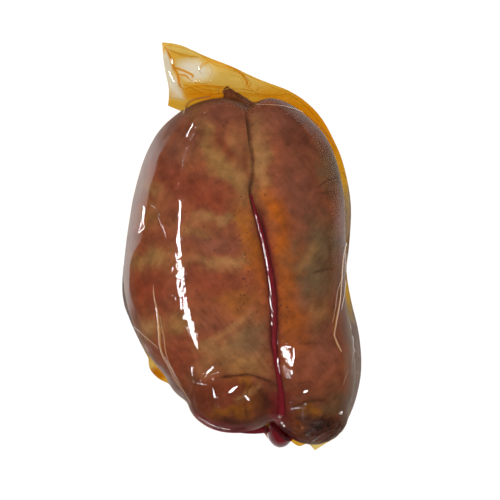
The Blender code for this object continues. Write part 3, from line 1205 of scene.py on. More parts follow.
@dataclass
class Pouch:
    """The form that the meat and the film share: two lobes, two toes and the gathered neck."""

    voxel: float = 1.15 * MM
    underside: float = 1.3 * MM
    evening: int = 4
    blends: int = 90
    blend_below: float = -62 * MM
    left: Lobe = Lobe(
        head=99, foot=-117, rise=44, foot_sink=0.24, crown=0.63, fullness=(2.1, 3.0),
        edges=(
            (-14.5, -14.5), (-37, 4), (-57.5, 11.5), (-69.5, 12), (-76, 21.5),
            (-78, 28), (-67, 31), (-45, 33.5), (-20, 27), (2, 2),
        ),
    )
    right: Lobe = Lobe(
        head=99, foot=-127, rise=40, foot_sink=0.2, crown=0.45, fullness=(3.0, 2.1),
        edges=(
            (19, 19), (3.5, 36), (-3.5, 56), (-4, 66.5), (3.5, 69),
            (12, 69), (14.5, 75), (18.5, 73), (25, 56), (40, 40),
        ),
    )
    toes: tuple = (((-4.5, -99.5, 44), (32, 23, 25.5)), ((47, -109, 38), (24, 21.5, 25)))
    heel: tuple = ((-25, -78, 34), (26.5, 27, 29))
    neck: tuple = (Vector((5, 90, 37)) * MM, Vector((-12, 105, 31)) * MM, (7 * MM, 3.2 * MM))

    def shells(self) -> list[bpy.types.Mesh]:
        """The closed shells that overlap in the pouch."""
        toes = [ellipsoid(*toe) for toe in (*self.toes, self.heel)]
        return [self.left.shell(), self.right.shell(), *toes, cone(*self.neck)]

    def skin(self, name: str, voxel: float, extra: list[bpy.types.Mesh]) -> bpy.types.Object:
        """One even skin round the pouch.

        Args:
            name: Name of the object.
            voxel: Size of its faces, in metres.
            extra: More closed shells for it to go round.

        Returns:
            The object, flat where it lies.
        """
        made = remeshed(name, joined(self.shells() + extra), voxel)
        relax(made.data, self.evening)
        relax(made.data, self.blends, outward=True, below=self.blend_below)
        points = mesh_points(made.data)
        points[:, 2] = np.maximum(points[:, 2], self.underside)
        move_points(made.data, points)
        return made


CREASE = (
    (2.6, 93), (4, 84), (5.6, 70), (6.6, 57), (6.4, 44), (6.2, 34), (10.6, 18), (14, 5), (16.8, -9),
    (19.2, -22), (20.6, -35), (20.6, -48), (21.4, -66), (23.6, -78), (25.4, -90), (26, -104),
)


@dataclass
class Sausage:
    """The meat in its casing, with its folds, its tones, painted shade and a painted highlight."""

    pouch: Pouch
    inset: float = 0.55 * MM
    # Grooves are pressed into the casing and, on its upper side, painted darker along their lines as
    # painted shade.
    grooves: tuple[Groove, ...] = (
        Groove(CREASE[:7], 1.6, 0.8, 0.8),
        Groove(CREASE[5:], 0.8, 1.8, 0.6),
        Groove(((-18, -85), (-9.5, -84), (3.5, -83), (10, -84.5), (18.5, -87.5),
                (25, -92.5)), 1.6, 0.7, 0.95),
        Groove(((-26, -84), (-31, -90), (-33, -99), (-30, -107), (-22, -112)), 0.5, 0.9, 0.25),
        Groove(((1.5, -100.5), (2.5, -105), (3.5, -111.5)), 0.7, 0.5, 0.7),
        Groove(((8, -87), (5, -91), (2, -97.5), (-5.5, -101)), 0.6, 0.7, 0.5),
        Groove(((2, -86), (1, -91), (0, -97)), 0.5, 0.9, 0.35),
        Groove(((14, -89), (10, -96), (7, -103)), 0.4, 0.9, 0.3),
        Groove(((-14, -101), (-9, -104), (-5, -109)), 0.4, 0.9, 0.3),
        Groove(((50, 38), (54, 42.5), (60, 45), (65, 46)), 0.6, 0.7, 0.7),
        Groove(((47, 36), (54, 35.5), (62, 36.5)), 0.5, 0.6, 0.6),
        Groove(((45, -17), (52, -15), (62, -13.5)), 0.7, 0.7, 0.75),
        Groove(((57, 3), (58, -4), (56.5, -11)), 0.3, 1.4, 0.45),
        Groove(((30, -106), (36, -103), (42, -100.5), (50, -99.5), (57, -99.5)), 0.9, 0.7, 0.7),
        Groove(((33, -110), (40, -112), (47, -110)), 0.8, 0.8, 0.7),
        Groove(((36, -62), (46, -63), (54, -62)), 0.3, 0.8, 0.35),
        Groove(((34, -90), (42, -88), (50, -90)), 0.3, 0.7, 0.3),
        Groove(((-8, 88), (-12, 74), (-13, 62)), 0.25, 1.2, 0.2),
        Groove(((-22, 80), (-30, 66), (-34, 54)), 0.25, 1.2, 0.2),
    )
    # Stains of juice and tones of the paste, and one tan line that is a painted highlight beside the
    # crease.
    stains_and_highlight: tuple[tuple[Tone, Groove], ...] = (
        (Tone.CRIMSON, Groove(((-34, -106), (-27, -113), (-16, -118), (-1.5, -121),
                (15, -119)), 0, 3.6, 1.0)),
        (Tone.CRIMSON, Groove(((24, -92), (25, -101), (24, -110), (22, -120)), 0, 5.6, 1.0)),
        (Tone.CRIMSON, Groove(((8, 34), (11, 22), (14.5, 7), (18, -9), (20.5, -30), (20.8, -60),
                (23.5, -92)), 0, 3.5, 1.0)),
        (Tone.TAN, Groove(((14, -88), (4, -95), (-6, -100)), 0, 2.2, 0.55)),
        # Tan paste with a painted highlight: the line beside the crease on the right lobe's flank that
        # faces the light at the left.
        (Tone.TAN, Groove(((8, 46), (9.5, 60), (9, 76), (8, 90)), 0, 2.2, 0.5)),
        (Tone.OLIVE, Groove(((-30, 72), (-18, 60), (-6, 44), (2, 36)), 0, 2.6, 0.6)),
        (Tone.TAN, Groove(((-33, -66), (-18, -60), (-4, -50), (6, -42)), 0, 2.4, 0.6)),
        (Tone.OLIVE, Groove(((34, -20), (42, -8), (50, 4)), 0, 3.0, 0.4)),
    )
    base: Tone = Tone.CHESTNUT
    patches: tuple[Patch, ...] = (
        Patch(Tone.MAUVE, (-18, 89), (30, 12), 0, 0.8),
        Patch(Tone.OLIVE, (-40, 62), (14, 7), -40, 0.6),
        Patch(Tone.OLIVE, (-24, 74), (15, 5), -62, 0.9),
        Patch(Tone.OLIVE, (-13, 52), (24, 5.5), -50, 1.0),
        Patch(Tone.TAN, (0, 39), (6, 12), 20, 0.9),
        Patch(Tone.TAN, (-4, 66), (8, 10), 0, 0.5),
        Patch(Tone.RUST, (-48, 50), (14, 17), 20, 0.9),
        Patch(Tone.MAUVE, (-44, 66), (18, 16), 30, 0.8),
        Patch(Tone.RUST, (-13, 62), (9, 5), -50, 0.8),
        Patch(Tone.RUST, (-25, 35), (18, 8), -38, 1.0),
        Patch(Tone.TAN, (-58, 38), (7, 9), 60, 0.7),
        Patch(Tone.OLIVE, (-62, 20), (10, 7), 0, 0.5),
        Patch(Tone.TAN, (-12, 17), (20, 4), -8, 0.9),
        Patch(Tone.OLIVE, (-32, 11), (12, 5), -12, 0.8),
        Patch(Tone.MAUVE, (-19, 3), (17, 6), 0, 0.85),
        Patch(Tone.TAN, (-12, -9), (23, 4.5), 3, 0.9),
        Patch(Tone.OLIVE, (-60, -9), (16, 8), 4, 1.0),
        Patch(Tone.TAN, (-60, -11), (13, 4), 4, 0.45),
        Patch(Tone.RUST, (-20, -24), (25, 9), 0, 0.8),
        Patch(Tone.RUST, (-61, -27), (12, 13), 0, 1.0),
        Patch(Tone.GOLD, (6, 8), (20, 7), -72, 0.8),
        Patch(Tone.ORANGE, (10, -8), (22, 6), -76, 0.6),
        Patch(Tone.GOLD, (-2, -36), (17, 8), 0, 0.6),
        Patch(Tone.TAN, (-10, -64), (27, 6), 36, 0.8),
        Patch(Tone.DUSK, (6, -60), (16, 14), 30, 0.7),
        Patch(Tone.OLIVE, (0, -76), (20, 8), 0, 0.8),
        Patch(Tone.MAUVE, (-24, -50), (13, 8), 30, 0.5),
        Patch(Tone.TAN, (-62, -54), (8, 8), 0, 1.0),
        Patch(Tone.OLIVE, (-42, -52), (11, 7), 20, 0.8),
        Patch(Tone.RUST, (-44, -76), (12, 14), -20, 0.6),
        Patch(Tone.RUST, (-12, -98), (26, 14), 0, 0.75),
        Patch(Tone.UMBER, (16, -103), (9, 13), 0, 0.75),
        Patch(Tone.GOLD, (4, -90), (11, 4), -55, 0.8),
        Patch(Tone.GOLD, (-7, -108), (14, 5), 10, 0.8),
        Patch(Tone.UMBER, (-12, -119), (26, 6), 6, 0.8),
        Patch(Tone.MAUVE, (26, 83), (22, 14), 0, 0.9),
        Patch(Tone.PLUM, (37, 72), (15, 9), -30, 0.6),
        # Tan paste, painted lighter as light on the right lobe's flank beside the crease, which faces
        # the light at the left.
        Patch(Tone.TAN, (12, 54), (6.5, 24), 6, 1.0),
        Patch(Tone.MAUVE, (34, 45), (12, 22), 0, 0.6),
        Patch(Tone.ORANGE, (20, 23), (8, 15), 14, 1.0),
        Patch(Tone.ORANGE, (26, 0), (8, 14), 10, 1.0),
        Patch(Tone.ORANGE, (29, -26), (8, 18), 4, 0.9),
        Patch(Tone.MAUVE, (42, 27), (10, 22), 10, 0.6),
        Patch(Tone.DUSK, (60, 52), (9, 18), 15, 0.8),
        Patch(Tone.DUSK, (53, 2), (11, 20), 10, 1.0),
        Patch(Tone.DUSK, (46, -18), (13, 20), 25, 1.0),
        Patch(Tone.ORANGE, (31, -52), (11, 13), 0, 0.8),
        Patch(Tone.OLIVE, (50, -46), (10, 10), 0, 0.6),
        Patch(Tone.MAUVE, (53, -66), (14, 16), 0, 0.7),
        Patch(Tone.DUSK, (58, -102), (14, 9), 0, 0.8),
        Patch(Tone.UMBER, (50, -118), (17, 10), 0, 1.0),
        Patch(Tone.ORANGE, (35, -121), (4, 6), 0, 0.9),
        Patch(Tone.GOLD, (43, -104), (9, 4), 12, 0.95),
        Patch(Tone.DUSK, (76, -74), (7, 44), 0, 0.9),
        Patch(Tone.NECK, (-4, 101), (13, 8), -40, 1.0),
    )
    swell: Ripple = Ripple(26, 0.35, seed=1, detail=1)
    dimples: Ripple = Ripple(5, 0.10, seed=2)
    drift: tuple[Ripple, ...] = (Ripple(17, 6.5, seed=4, detail=3), Ripple(17, 6.5, seed=5, detail=3))
    fray: tuple[Ripple, ...] = (Ripple(4, 1.0, seed=6), Ripple(4, 1.0, seed=7))
    patch_fray: float = 1.6
    stain_fray: float = 1.2
    groove_fray: float = 0.3
    top_from: float = 0.25
    crinkle: Patch = Patch(Tone.UMBER, (49, -119), (19, 11), 0, 1.0)
    wrinkle: Ripple = Ripple(4.5, 2.4, seed=3, stretch=(0.8, 1.8, 1.0))
    wrinkle_level: float = 0.7
    wrinkle_height: float = 1.9 * MM
    # Painted shade: the valleys between the wrinkles at the right foot are painted darker.
    wrinkle_dark_from: float = 0.75
    wrinkle_dark_run: float = 0.5
    wrinkle_shade: float = 0.65
    # Painted shade: the casing is painted darker towards the foot.
    foot_from: float = -66.0
    foot_run: float = 40.0
    foot_shade: float = 0.42
    # Painted shade: the steep sides of the casing are painted darker.
    edge_from: float = 0.75
    edge_shade: float = 0.5
    # Painted shade: the smaller lobe, away from the light at the left, is painted darker towards its
    # right side, above the foot.
    small_lobe_from: Point = (20.0, -72.0)
    small_lobe_run: float = 14.0
    small_lobe_shade: float = 0.20

    def build(self) -> bpy.types.Object:
        """Grows the meat from the pouch, presses its folds and paints it."""
        made = self.pouch.skin("nduja_meat", self.pouch.voxel, [])
        points, normals = mesh_points(made.data), mesh_normals(made.data)
        plan = points[:, :2] / MM
        upper = eased(normals[:, 2] / self.top_from)
        self.paint(made.data, points, plan, normals[:, 2])
        move = np.full(len(points), -self.inset)
        move += (self.swell.over(points) + self.dimples.over(points)) * MM
        for groove in self.grooves:
            move -= groove.pressed(plan) * groove.depth * MM * upper
        ridges = self.wrinkles(points) - self.wrinkle_level
        move += self.crinkle.weight(plan) * ridges * self.wrinkle_height
        points += normals * move[:, None]
        points[:, 2] = np.maximum(points[:, 2], self.pouch.underside)
        move_points(made.data, points)
        return made

    def paint(
        self, mesh: bpy.types.Mesh, points: np.ndarray, plan: np.ndarray, level: np.ndarray
    ) -> None:
        """Lays the tones over the casing as a colour attribute, with painted shade and a painted
        highlight.

        Args:
            mesh: The mesh to paint.
            points: Its vertices, in metres.
            plan: Their X and Y, in millimetres.
            level: Z of their normals, 1 where the casing faces straight up.
        """
        upper = eased(level / self.top_from)
        drift = np.stack([ripple.over(points) for ripple in self.drift], 1)
        fray = np.stack([ripple.over(points) for ripple in self.fray], 1)
        colour = np.tile(np.array(self.base.value), (len(points), 1))
        colour = paint_over(colour, self.patches, plan + drift + fray * self.patch_fray)
        # Painted shade: darker towards the foot, on steep sides, over the smaller lobe and in the
        # wrinkles' valleys.
        foot = eased((self.foot_from - plan[:, 1]) / self.foot_run) * self.foot_shade
        edge = eased((self.edge_from - level) / self.edge_from) * self.edge_shade
        small = np.prod(eased((plan - self.small_lobe_from) / self.small_lobe_run), 1)
        small *= self.small_lobe_shade
        valleys = eased((self.wrinkle_dark_from - self.wrinkles(points)) / self.wrinkle_dark_run)
        painted_wrinkle_shade = self.crinkle.weight(plan) * valleys * self.wrinkle_shade
        colour *= ((1 - foot) * (1 - edge) * (1 - small) * (1 - painted_wrinkle_shade))[:, None]
        for tone, line in self.stains_and_highlight:
            stain_and_highlight_share = line.pressed(plan + fray * self.stain_fray) * line.shade
            colour = laid_over(colour, tone, stain_and_highlight_share)
        # Painted shade: each groove is darkened with umber along its line, on the casing's upper side.
        for groove in self.grooves:
            shaded = groove.pressed(plan + fray * self.groove_fray) * groove.shade * upper
            colour = laid_over(colour, Tone.UMBER, shaded)
        keep_values(mesh, "tone", colour)

    def wrinkles(self, points: np.ndarray) -> np.ndarray:
        """Sharp ridges, 1 on top of them, at points in metres."""
        return 1 - np.abs(self.wrinkle.over(points))

    def dress(self, made: bpy.types.Object, effects: Effects) -> None:
        """Gives the meat its finish and stands it for its node."""
        finish_piece(made, CasingFinish(effects).build())
        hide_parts("nduja")


@dataclass
class Juice:
    """The red juice in the crease, past the foot and under the left toe."""

    voxel: float = 0.6 * MM
    rounding: int = 10

    def build(self) -> bpy.types.Object:
        """Rounds a copy of the juice's node."""
        made = remeshed("juice_run", node_copy("juice"), self.voxel)
        relax(made.data, self.rounding)
        return made

    def dress(self, made: bpy.types.Object, effects: Effects) -> None:
        """Gives the juice its finish and stands it for its node."""
        finish_piece(made, JuiceFinish(effects).build())
        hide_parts("juice")


@dataclass
class SkinFilm:
    """The film that is shrunk on to the meat, stretched across its hollows."""

    pouch: Pouch
    voxel: float = 1.25 * MM
    spans: int = 60
    resting: int = 2
    waves: Ripple = Ripple(24, 0.30, seed=11, detail=1)
    puckers: Ripple = Ripple(8, 0.05, seed=12, detail=1)
    tightness: float = 0.2
    lowest: float = 0.75
    pimple_rows: Point = (5.0, -75.0)
    pimple_fade: Point = (20.0, 12.0)
    fewest_pimples: float = 0.12
    drift: Ripple = Ripple(9, 1.0, seed=13, stretch=(1.0, 0.5, 1.0))
    patch_drift: float = 3.0
    steep_from: float = 0.78
    band_from: float = 0.72
    band_drift: float = 0.03
    edge_run: float = 0.05
    under_from: float = 0.62
    under_run: float = 0.55
    under_loss: float = 0.85
    sheens: tuple[Patch, ...] = (
        Patch(Sheen.BRIGHT, (-72, 46), (22, 34), -25, 1.0, 2),
        Patch(Sheen.BRIGHT, (-84, 2), (22, 48), 0, 1.0, 3),
        Patch(Sheen.FAINT, (-62, -56), (9, 16), 40, 1.0, 3),
        Patch(Sheen.BRIGHT, (-74, -68), (26, 9), -50, 1.0, 3),
        Patch(Sheen.HALF, (-54, -90), (30, 8), -52, 0.8, 3),
        Patch(Sheen.LOW, (50, 86), (30, 14), -35, 0.9, 2),
        Patch(Sheen.HALF, (74, 12), (12, 34), 0, 0.6, 2),
        Patch(Sheen.LOW, (80, -60), (12, 40), 0, 0.7, 2),
    )
    juices: tuple[Patch, ...] = (
        Patch(Tint.WINE, (24.5, -128), (14, 11), 0, 1.0, 3),
        Patch(Tint.WINE, (-6, -121.5), (24, 3.2), -3, 0.7, 2),
    )
    narrows: Patch = Patch(Sheen.FAINT, (-80, -22), (30, 24), 0, 0.2, 2)
    calms: tuple[Patch, ...] = (
        Patch(Sheen.FAINT, (-8, -98), (28, 17), 0, 0.8, 2),
        Patch(Sheen.FAINT, (46, -103), (22, 15), 0, 0.8, 2),
        Patch(Sheen.FAINT, (28, -70), (9, 14), 0, 0.8, 2),
        Patch(Sheen.FAINT, (-66, 20), (12, 14), 0, 0.6, 2),
    )

    def build(self) -> bpy.types.Object:
        """Grows the film from the pouch and the juice, and lets it span the hollows."""
        made = self.pouch.skin("film_skin", self.voxel, [node_copy("juice")])
        relax(made.data, self.spans, outward=True)
        relax(made.data, self.resting)
        points, normals = mesh_points(made.data), mesh_normals(made.data)
        waves = self.waves.over(points) + self.puckers.over(points)
        points += normals * ((waves - self.tightness) * MM)[:, None]
        points[:, 2] = np.clip(points[:, 2], self.pouch.underside * self.lowest, CAD_BOX[1].z)
        move_points(made.data, points)
        self.paint(made.data, points, normals[:, 2:])
        return made

    def paint(self, mesh: bpy.types.Mesh, points: np.ndarray, level: np.ndarray) -> None:
        """Keeps where the film is pimpled, how glossy it is and how it is tinted.

        Args:
            mesh: The mesh to paint.
            points: Its vertices, in metres.
            level: One row for each, with Z of the normal: 1 where the film faces straight up.
        """
        plan = points[:, :2] / MM
        (high, low), (high_fade, low_fade) = self.pimple_rows, self.pimple_fade
        rows = eased((high - plan[:, 1]) / high_fade) * eased((plan[:, 1] - low) / low_fade)
        keep_values(mesh, "pimpled", self.fewest_pimples + (1 - self.fewest_pimples) * rows)
        drift = self.drift.over(points)[:, None]
        warped = plan + drift * self.patch_drift
        steep = eased((self.steep_from - level) / self.edge_run)
        reach = self.band_from - self.narrows.weight(plan)[:, None] + drift * self.band_drift
        band = eased((reach - level) / self.edge_run)
        under = eased((self.under_from - level) / self.under_run)
        sheen = paint_over(np.full((len(points), 1), Sheen.FAINT.value[0]), self.sheens, warped)
        sheen = sheen * band * (1 - self.under_loss * under)
        calm = paint_over(np.ones((len(points), 1)), self.calms, plan)
        keep_values(mesh, "sheen", (calm * (1 - steep) + sheen * steep)[:, 0])
        tint = np.tile(np.array(Tint.SKIN.value), (len(points), 1))
        keep_values(mesh, "tint", paint_over(tint, self.juices, warped))

    def dress(self, made: bpy.types.Object, effects: Effects) -> None:
        """Gives the film its finish."""
        finish_piece(made, SkinFilmFinish(effects).build())


@dataclass
class LooseFilm:
    """The back panel of the bag with its tail, flap and corners, crumpled where it is loose."""

    longest_edge: float = 1.0 * MM
    longest_elsewhere: float = 3.5 * MM
    most_splits: int = 7
    fine_from: float = 84 * MM
    smoothing: int = 60
    settled_run: float = 10 * MM
    crumpled_run: float = 14 * MM
    lowest: float = 0.25 * MM
    crumple: Ripple = Ripple(11, 1.0, seed=8, detail=3, stretch=(1.0, 1.0, 0.0))
    drift: Ripple = Ripple(6, 1.2, seed=9, stretch=(1.0, 1.0, 0.0))
    folds: tuple[tuple[Tint, Groove], ...] = (
        (Tint.ORANGE, Groove(((-51, 132.5), (-48.5, 128), (-45.5, 121.5), (-45, 118.5), (-43, 115),
                (-42, 111.5), (-41.5, 107.5), (-39.5, 104.5)), 1.8, 1.0, 0.9)),
        (Tint.ORANGE, Groove(((-45, 118.5), (-41, 117.5), (-36, 115.5), (-32.5, 113.5),
                (-33.5, 111.5)), 1.0, 0.7, 0.9)),
        (Tint.ORANGE, Groove(((-41.5, 114), (-37.5, 113.5), (-34.5, 111)), 0.8, 0.6, 0.8)),
        (Tint.ORANGE, Groove(((-39.5, 104), (-34.5, 106), (-28.5, 107), (-20.5, 107), (-13, 106),
                (-8, 107)), 1.4, 0.7, 0.7)),
        (Tint.ORANGE, Groove(((-13, 120.5), (-6.5, 118.5), (-1.5, 116), (1.5, 112.5), (3.5, 109),
                (4, 105)), 1.2, 0.9, 0.7)),
        (Tint.ORANGE, Groove(((-4.5, 102.5), (4.5, 101.5), (17, 100.5), (33.5, 101)), 0.8, 0.5, 0.6)),
        (Tint.ORANGE, Groove(((-28.5, 117.5), (-24.5, 121.5), (-21, 122.5)), 0.8, 0.6, 0.5)),
        (Tint.GOLD, Groove(((-46, 124), (-38.5, 125.5), (-28.5, 125.5)), 0.8, 0.8, 0.8)),
        (Tint.CLEAR, Groove(((-37, 99), (-40.5, 100.5), (-43.5, 104), (-46, 109), (-48.5, 115),
                (-50, 123), (-50.5, 130)), 2.2, 2.0, 0.9)),
        (Tint.ORANGE, Groove(((-51.5, 134), (-37.5, 132), (-25, 126.5), (-18, 122.5),
                (-8, 120)), 0.3, 0.5, 0.5)),
        (Tint.ORANGE, Groove(((-36, 101), (-28, 102.5), (-20, 101.5), (-12, 103)), 0.6, 0.5, 0.4)),
        (Tint.ORANGE, Groove(((-34, 98.5), (-24, 100), (-14, 99.5)), 0.5, 0.5, 0.4)),
    )
    base: Tint = Tint.GOLD
    tints: tuple[Patch, ...] = (
        Patch(Tint.PALE, (-14, 113), (22, 8), -18, 0.5),
        Patch(Tint.CLEAR, (-32, 117), (13, 7.5), -12, 1.0, 2),
        Patch(Tint.CLEAR, (-44, 105), (5, 11), 20, 1.0, 2),
        Patch(Tint.CLEAR, (-49, 119), (3, 12), 0, 1.0, 2),
        Patch(Tint.PALE, (-38, 129), (14, 2.4), -10, 0.6, 2),
        Patch(Tint.ORANGE, (-22, 101), (20, 4.5), -4, 0.9),
        Patch(Tint.GOLD, (-43, 96), (8, 3), -15, 0.9, 2),
        Patch(Tint.PALE, (6, 109), (12, 5), -20, 0.5),
        Patch(Tint.ORANGE, (30, 96), (26, 6), -20, 0.7),
        Patch(Tint.ORANGE, (54, 78), (10, 30), 34, 0.8),
        Patch(Tint.DEEP, (-5, 99), (7, 5), -30, 0.5),
        Patch(Tint.SMOKE, (80, -80), (19, 52), 0, 1.0, 4),
        Patch(Tint.SMOKE, (-78, -30), (26, 54), 0, 1.0, 3),
        Patch(Tint.SMOKE, (-34, -112), (26, 14), -35, 1.0, 3),
        Patch(Tint.DEEP, (18, -120), (12, 8), 0, 1.0, 3),
        Patch(Tint.ORANGE, (-58, -82), (9, 8), 0, 0.75, 3),
        Patch(Tint.PALE, (-61, -79), (4, 5), 30, 0.7, 2),
        Patch(Tint.DEEP, (-57, -84), (5, 2.5), -30, 0.7, 2),
        Patch(Tint.SMOKE, (71, 8), (6, 34), 0, 0.9, 3),
        Patch(Tint.PALE, (58, -128), (17, 9), 30, 1.0, 3),
    )

    def build(self) -> bpy.types.Object:
        """Crumples a copy of the bag's node."""
        mesh = node_copy("bag")
        self.refine(mesh)
        made = new_object("film_back_and_tail", mesh)
        points = mesh_points(mesh)
        relax(mesh, self.smoothing)
        settling = eased((points[:, 1] - self.fine_from) / self.settled_run)
        points[:, 2] += (mesh_points(mesh)[:, 2] - points[:, 2]) * settling
        plan = points[:, :2] / MM
        loose = eased((points[:, 1] - self.fine_from) / self.crumpled_run)
        lift = self.crumple.over(points) * loose
        tint = np.tile(np.array(self.base.value), (len(points), 1))
        tint = paint_over(tint, self.tints, plan + self.drift.over(points)[:, None])
        for tone, fold in self.folds:
            pressed = fold.pressed(plan)
            lift += pressed * fold.depth * loose
            tint = laid_over(tint, tone, pressed * fold.shade)
        points[:, 2] = np.maximum(points[:, 2] + lift * MM, self.lowest * loose)
        move_points(mesh, points)
        keep_values(mesh, "tint", tint)
        return made

    def refine(self, mesh: bpy.types.Mesh) -> None:
        """Splits the faces until they are small, and smaller still in the tail."""
        work = bmesh.new()
        work.from_mesh(mesh)
        for _ in range(self.most_splits):
            long_edges = []
            for edge in work.edges:
                in_tail = max(vert.co.y for vert in edge.verts) > self.fine_from
                if edge.calc_length() > (self.longest_edge if in_tail else self.longest_elsewhere):
                    long_edges.append(edge)
            if not long_edges:
                break
            bmesh.ops.subdivide_edges(work, edges=long_edges, cuts=1)
            bmesh.ops.triangulate(work, faces=[face for face in work.faces if len(face.verts) > 3])
        settled(work, mesh)

    def dress(self, made: bpy.types.Object, effects: Effects) -> None:
        """Gives the loose film its finish and stands it for the bag's node."""
        finish_piece(made, AmberFilmFinish(effects).build())
        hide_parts("bag")


@dataclass
class Glints:
    """Creases of the film that mirror the light at the left."""

    lift: float = 0.3 * MM
    strands: tuple[Strand, ...] = (
        Strand(((-41, -8, 0.5), (-40, -17, 2), (-39, -27, 2.6), (-38, -37.5, 3), (-35.5, -45, 3.6),
                (-33.5, -53, 3.4), (-31, -60, 2.4), (-29.5, -67, 0.6)), 1, 1),
        Strand(((-37, -39, 0.4), (-34.5, -49, 0.9), (-32, -58, 0.7), (-29.5, -66.5, 0.3))),
        Strand(((-42, 36.5, 0.4), (-41, 47.5, 0.5), (-37, 63, 0.5), (-30.5, 78.5, 0.5),
                (-24, 90.5, 0.4)), 0.04),
        Strand(((-65, 27, 0.4), (-64.5, 23.5, 1.4), (-65, 19.5, 1), (-65.5, 17.5, 0.4))),
        Strand(((-65.5, 18.5, 0.3), (-66.5, 15.5, 0.3), (-68, 9.5, 0.4))),
        Strand(((-65.5, 18, 0.3), (-64.5, 13, 0.3), (-68, 9.5, 0.5))),
        Strand(((-59.5, 27.5, 0.2), (-56, 24.5, 0.3), (-54.5, 21.5, 0.3), (-55, 17.5, 0.2)), 0.2),
        Strand(((-55, 16, 0.3), (-52, 13.5, 0.3), (-50.5, 8.5, 0.3), (-50.5, 3.5, 0.2)), 0.25),
        Strand(((-36.5, 73, 0.3), (-34.5, 77.5, 0.4), (-32, 81.5, 0.3)), 0.8),
        Strand(((-31.5, -87, 0.2), (-33.5, -92, 0.3), (-34, -98, 0.3), (-33.5, -103, 0.3),
                (-31.5, -107, 0.2)), 0.06),
        Strand(((-24, -83, 0.3), (-21.5, -81.5, 0.5), (-19, -79, 0.5))),
        Strand(((-19, -93.5, 0.3), (-18.5, -96, 0.8), (-18, -99.5, 0.4)), 1, 0.6),
        Strand(((-8.5, -96, 0.4), (-6, -94, 0.8), (-3.5, -92, 0.4))),
        Strand(((2, -97.5, 0.3), (3, -99, 0.6), (4.5, -101, 0.3)), 0.8),
        Strand(((-30.5, -89, 0.2), (-25, -85.5, 0.3), (-20, -83.5, 0.3), (-14, -82.5, 0.2)), 0.1),
        Strand(((-26, -83.5, 0.2), (-20, -80.5, 0.2), (-13, -79.5, 0.2)), 0.06),
        Strand(((25, -67.5, 0.3), (28.5, -65.5, 0.6), (32.5, -66, 0.4)), 0.9, 0.5),
        Strand(((26.5, -66.5, 1.2), (29, -69.5, 3.2), (31, -74, 2.6), (32, -78, 0.8)), 1, 0.8),
        Strand(((28.5, -67.5, 0.4), (30, -71, 1.1), (31.5, -74.5, 0.4))),
        Strand(((33.7, -66.5, 0.3), (34.2, -71, 0.6), (33, -78.5, 0.3))),
        Strand(((32.5, -81, 0.5), (33, -83.5, 0.7))),
        Strand(((24, -71, 0.4), (23.7, -77, 0.6), (25, -83, 0.3)), 1, 0.9),
        Strand(((28, -78, 1.2), (30, -83, 1.8), (31.5, -88, 1)), 0.12),
        Strand(((8.5, 26, 0.3), (9, 24.5, 0.3))),
        Strand(((8.5, 21.5, 0.3), (9.5, 19.5, 0.4), (10, 18.5, 0.3))),
        Strand(((10, 17, 0.3), (10.7, 14, 0.6), (11.7, 11, 0.5), (12.9, 6, 0.3)), 1, 0.8),
        Strand(((13.2, 4.5, 0.3), (14.2, 0.5, 0.5), (15.1, -4, 0.6), (16.1, -9.5, 0.5),
                (17, -15.5, 0.3)), 1, 0.8),
        Strand(((17.2, -19.5, 0.3), (18, -23.5, 0.4), (18.8, -28, 0.4), (19.5, -31, 0.3)), 1, 0.6),
        Strand(((18.4, -33, 0.4), (18.7, -36, 0.6), (19.7, -40.5, 0.4), (20.5, -42.5, 0.3)), 1, 0.8),
        Strand(((19.6, -44, 0.3), (20, -46, 0.3))),
        Strand(((19.6, -49, 0.2), (19.8, -51.5, 0.3))),
        Strand(((23.5, -56, 0.2), (23.5, -62, 0.3), (24, -68, 0.2)), 0.4, 0.8),
        Strand(((40.5, -95.5, 0.4), (42, -95, 0.7), (43.5, -94.5, 0.4))),
        Strand(((42, -103, 0.3), (42.5, -104.5, 0.4)), 0.7),
        Strand(((31, -103.5, 0.2), (35, -100, 0.3), (41, -98.5, 0.2)), 0.1, 0.6),
        Strand(((63, -110, 0.3), (65.5, -109, 0.5), (68, -107, 0.3)), 0.5),
        Strand(((25.5, -114.5, 0.4), (27, -116.5, 0.6), (28.5, -118.5, 0.4)), 1, 0.6),
        Strand(((21, -113, 0.3), (19, -117, 0.4), (18.5, -120, 0.3)), 0.8, 0.8),
        Strand(((-28, -112, 0.3), (-22, -116, 0.5), (-14, -119, 0.4), (-6, -120.5, 0.3)), 0.9, 0.9),
        Strand(((41, -125, 0.2), (46, -121, 0.3), (52, -119.5, 0.2)), 0.25, 0.6),
        Strand(((38, -120, 0.2), (44, -116.5, 0.3), (55, -115, 0.2)), 0.15, 0.7),
        Strand(((47, -128, 0.2), (52, -124, 0.3), (58, -121, 0.2)), 0.25, 0.6),
        Strand(((-57, -39, 0.2), (-55.7, -47, 0.4), (-55, -56, 0.4), (-54, -64, 0.3)), 0.5, 0.3),
        Strand(((-52, -70, 0.2), (-48, -77, 0.3), (-43, -86, 0.3)), 0.35, 0.4),
        Strand(((32, 96.5, 0.4), (33.7, 99.5, 0.8), (36.5, 102, 0.6))),
        Strand(((-47.5, 129, 0.3), (-46.7, 125, 0.6), (-46, 121.5, 0.4)), 1, 0.5),
        Strand(((-48.5, 117, 0.4), (-47, 113, 0.7), (-44.5, 109, 0.5)), 1, 0.5),
        Strand(((-34, 109.5, 0.5), (-27.5, 109.5, 0.7), (-21, 110.5, 0.4)), 0.08),
        Strand(((-29, 119.5, 0.4), (-28.5, 117.5, 0.6)), 0.6),
        Strand(((8.5, 104.5, 0.5), (10.5, 105.5, 0.5)), 0.7),
    )

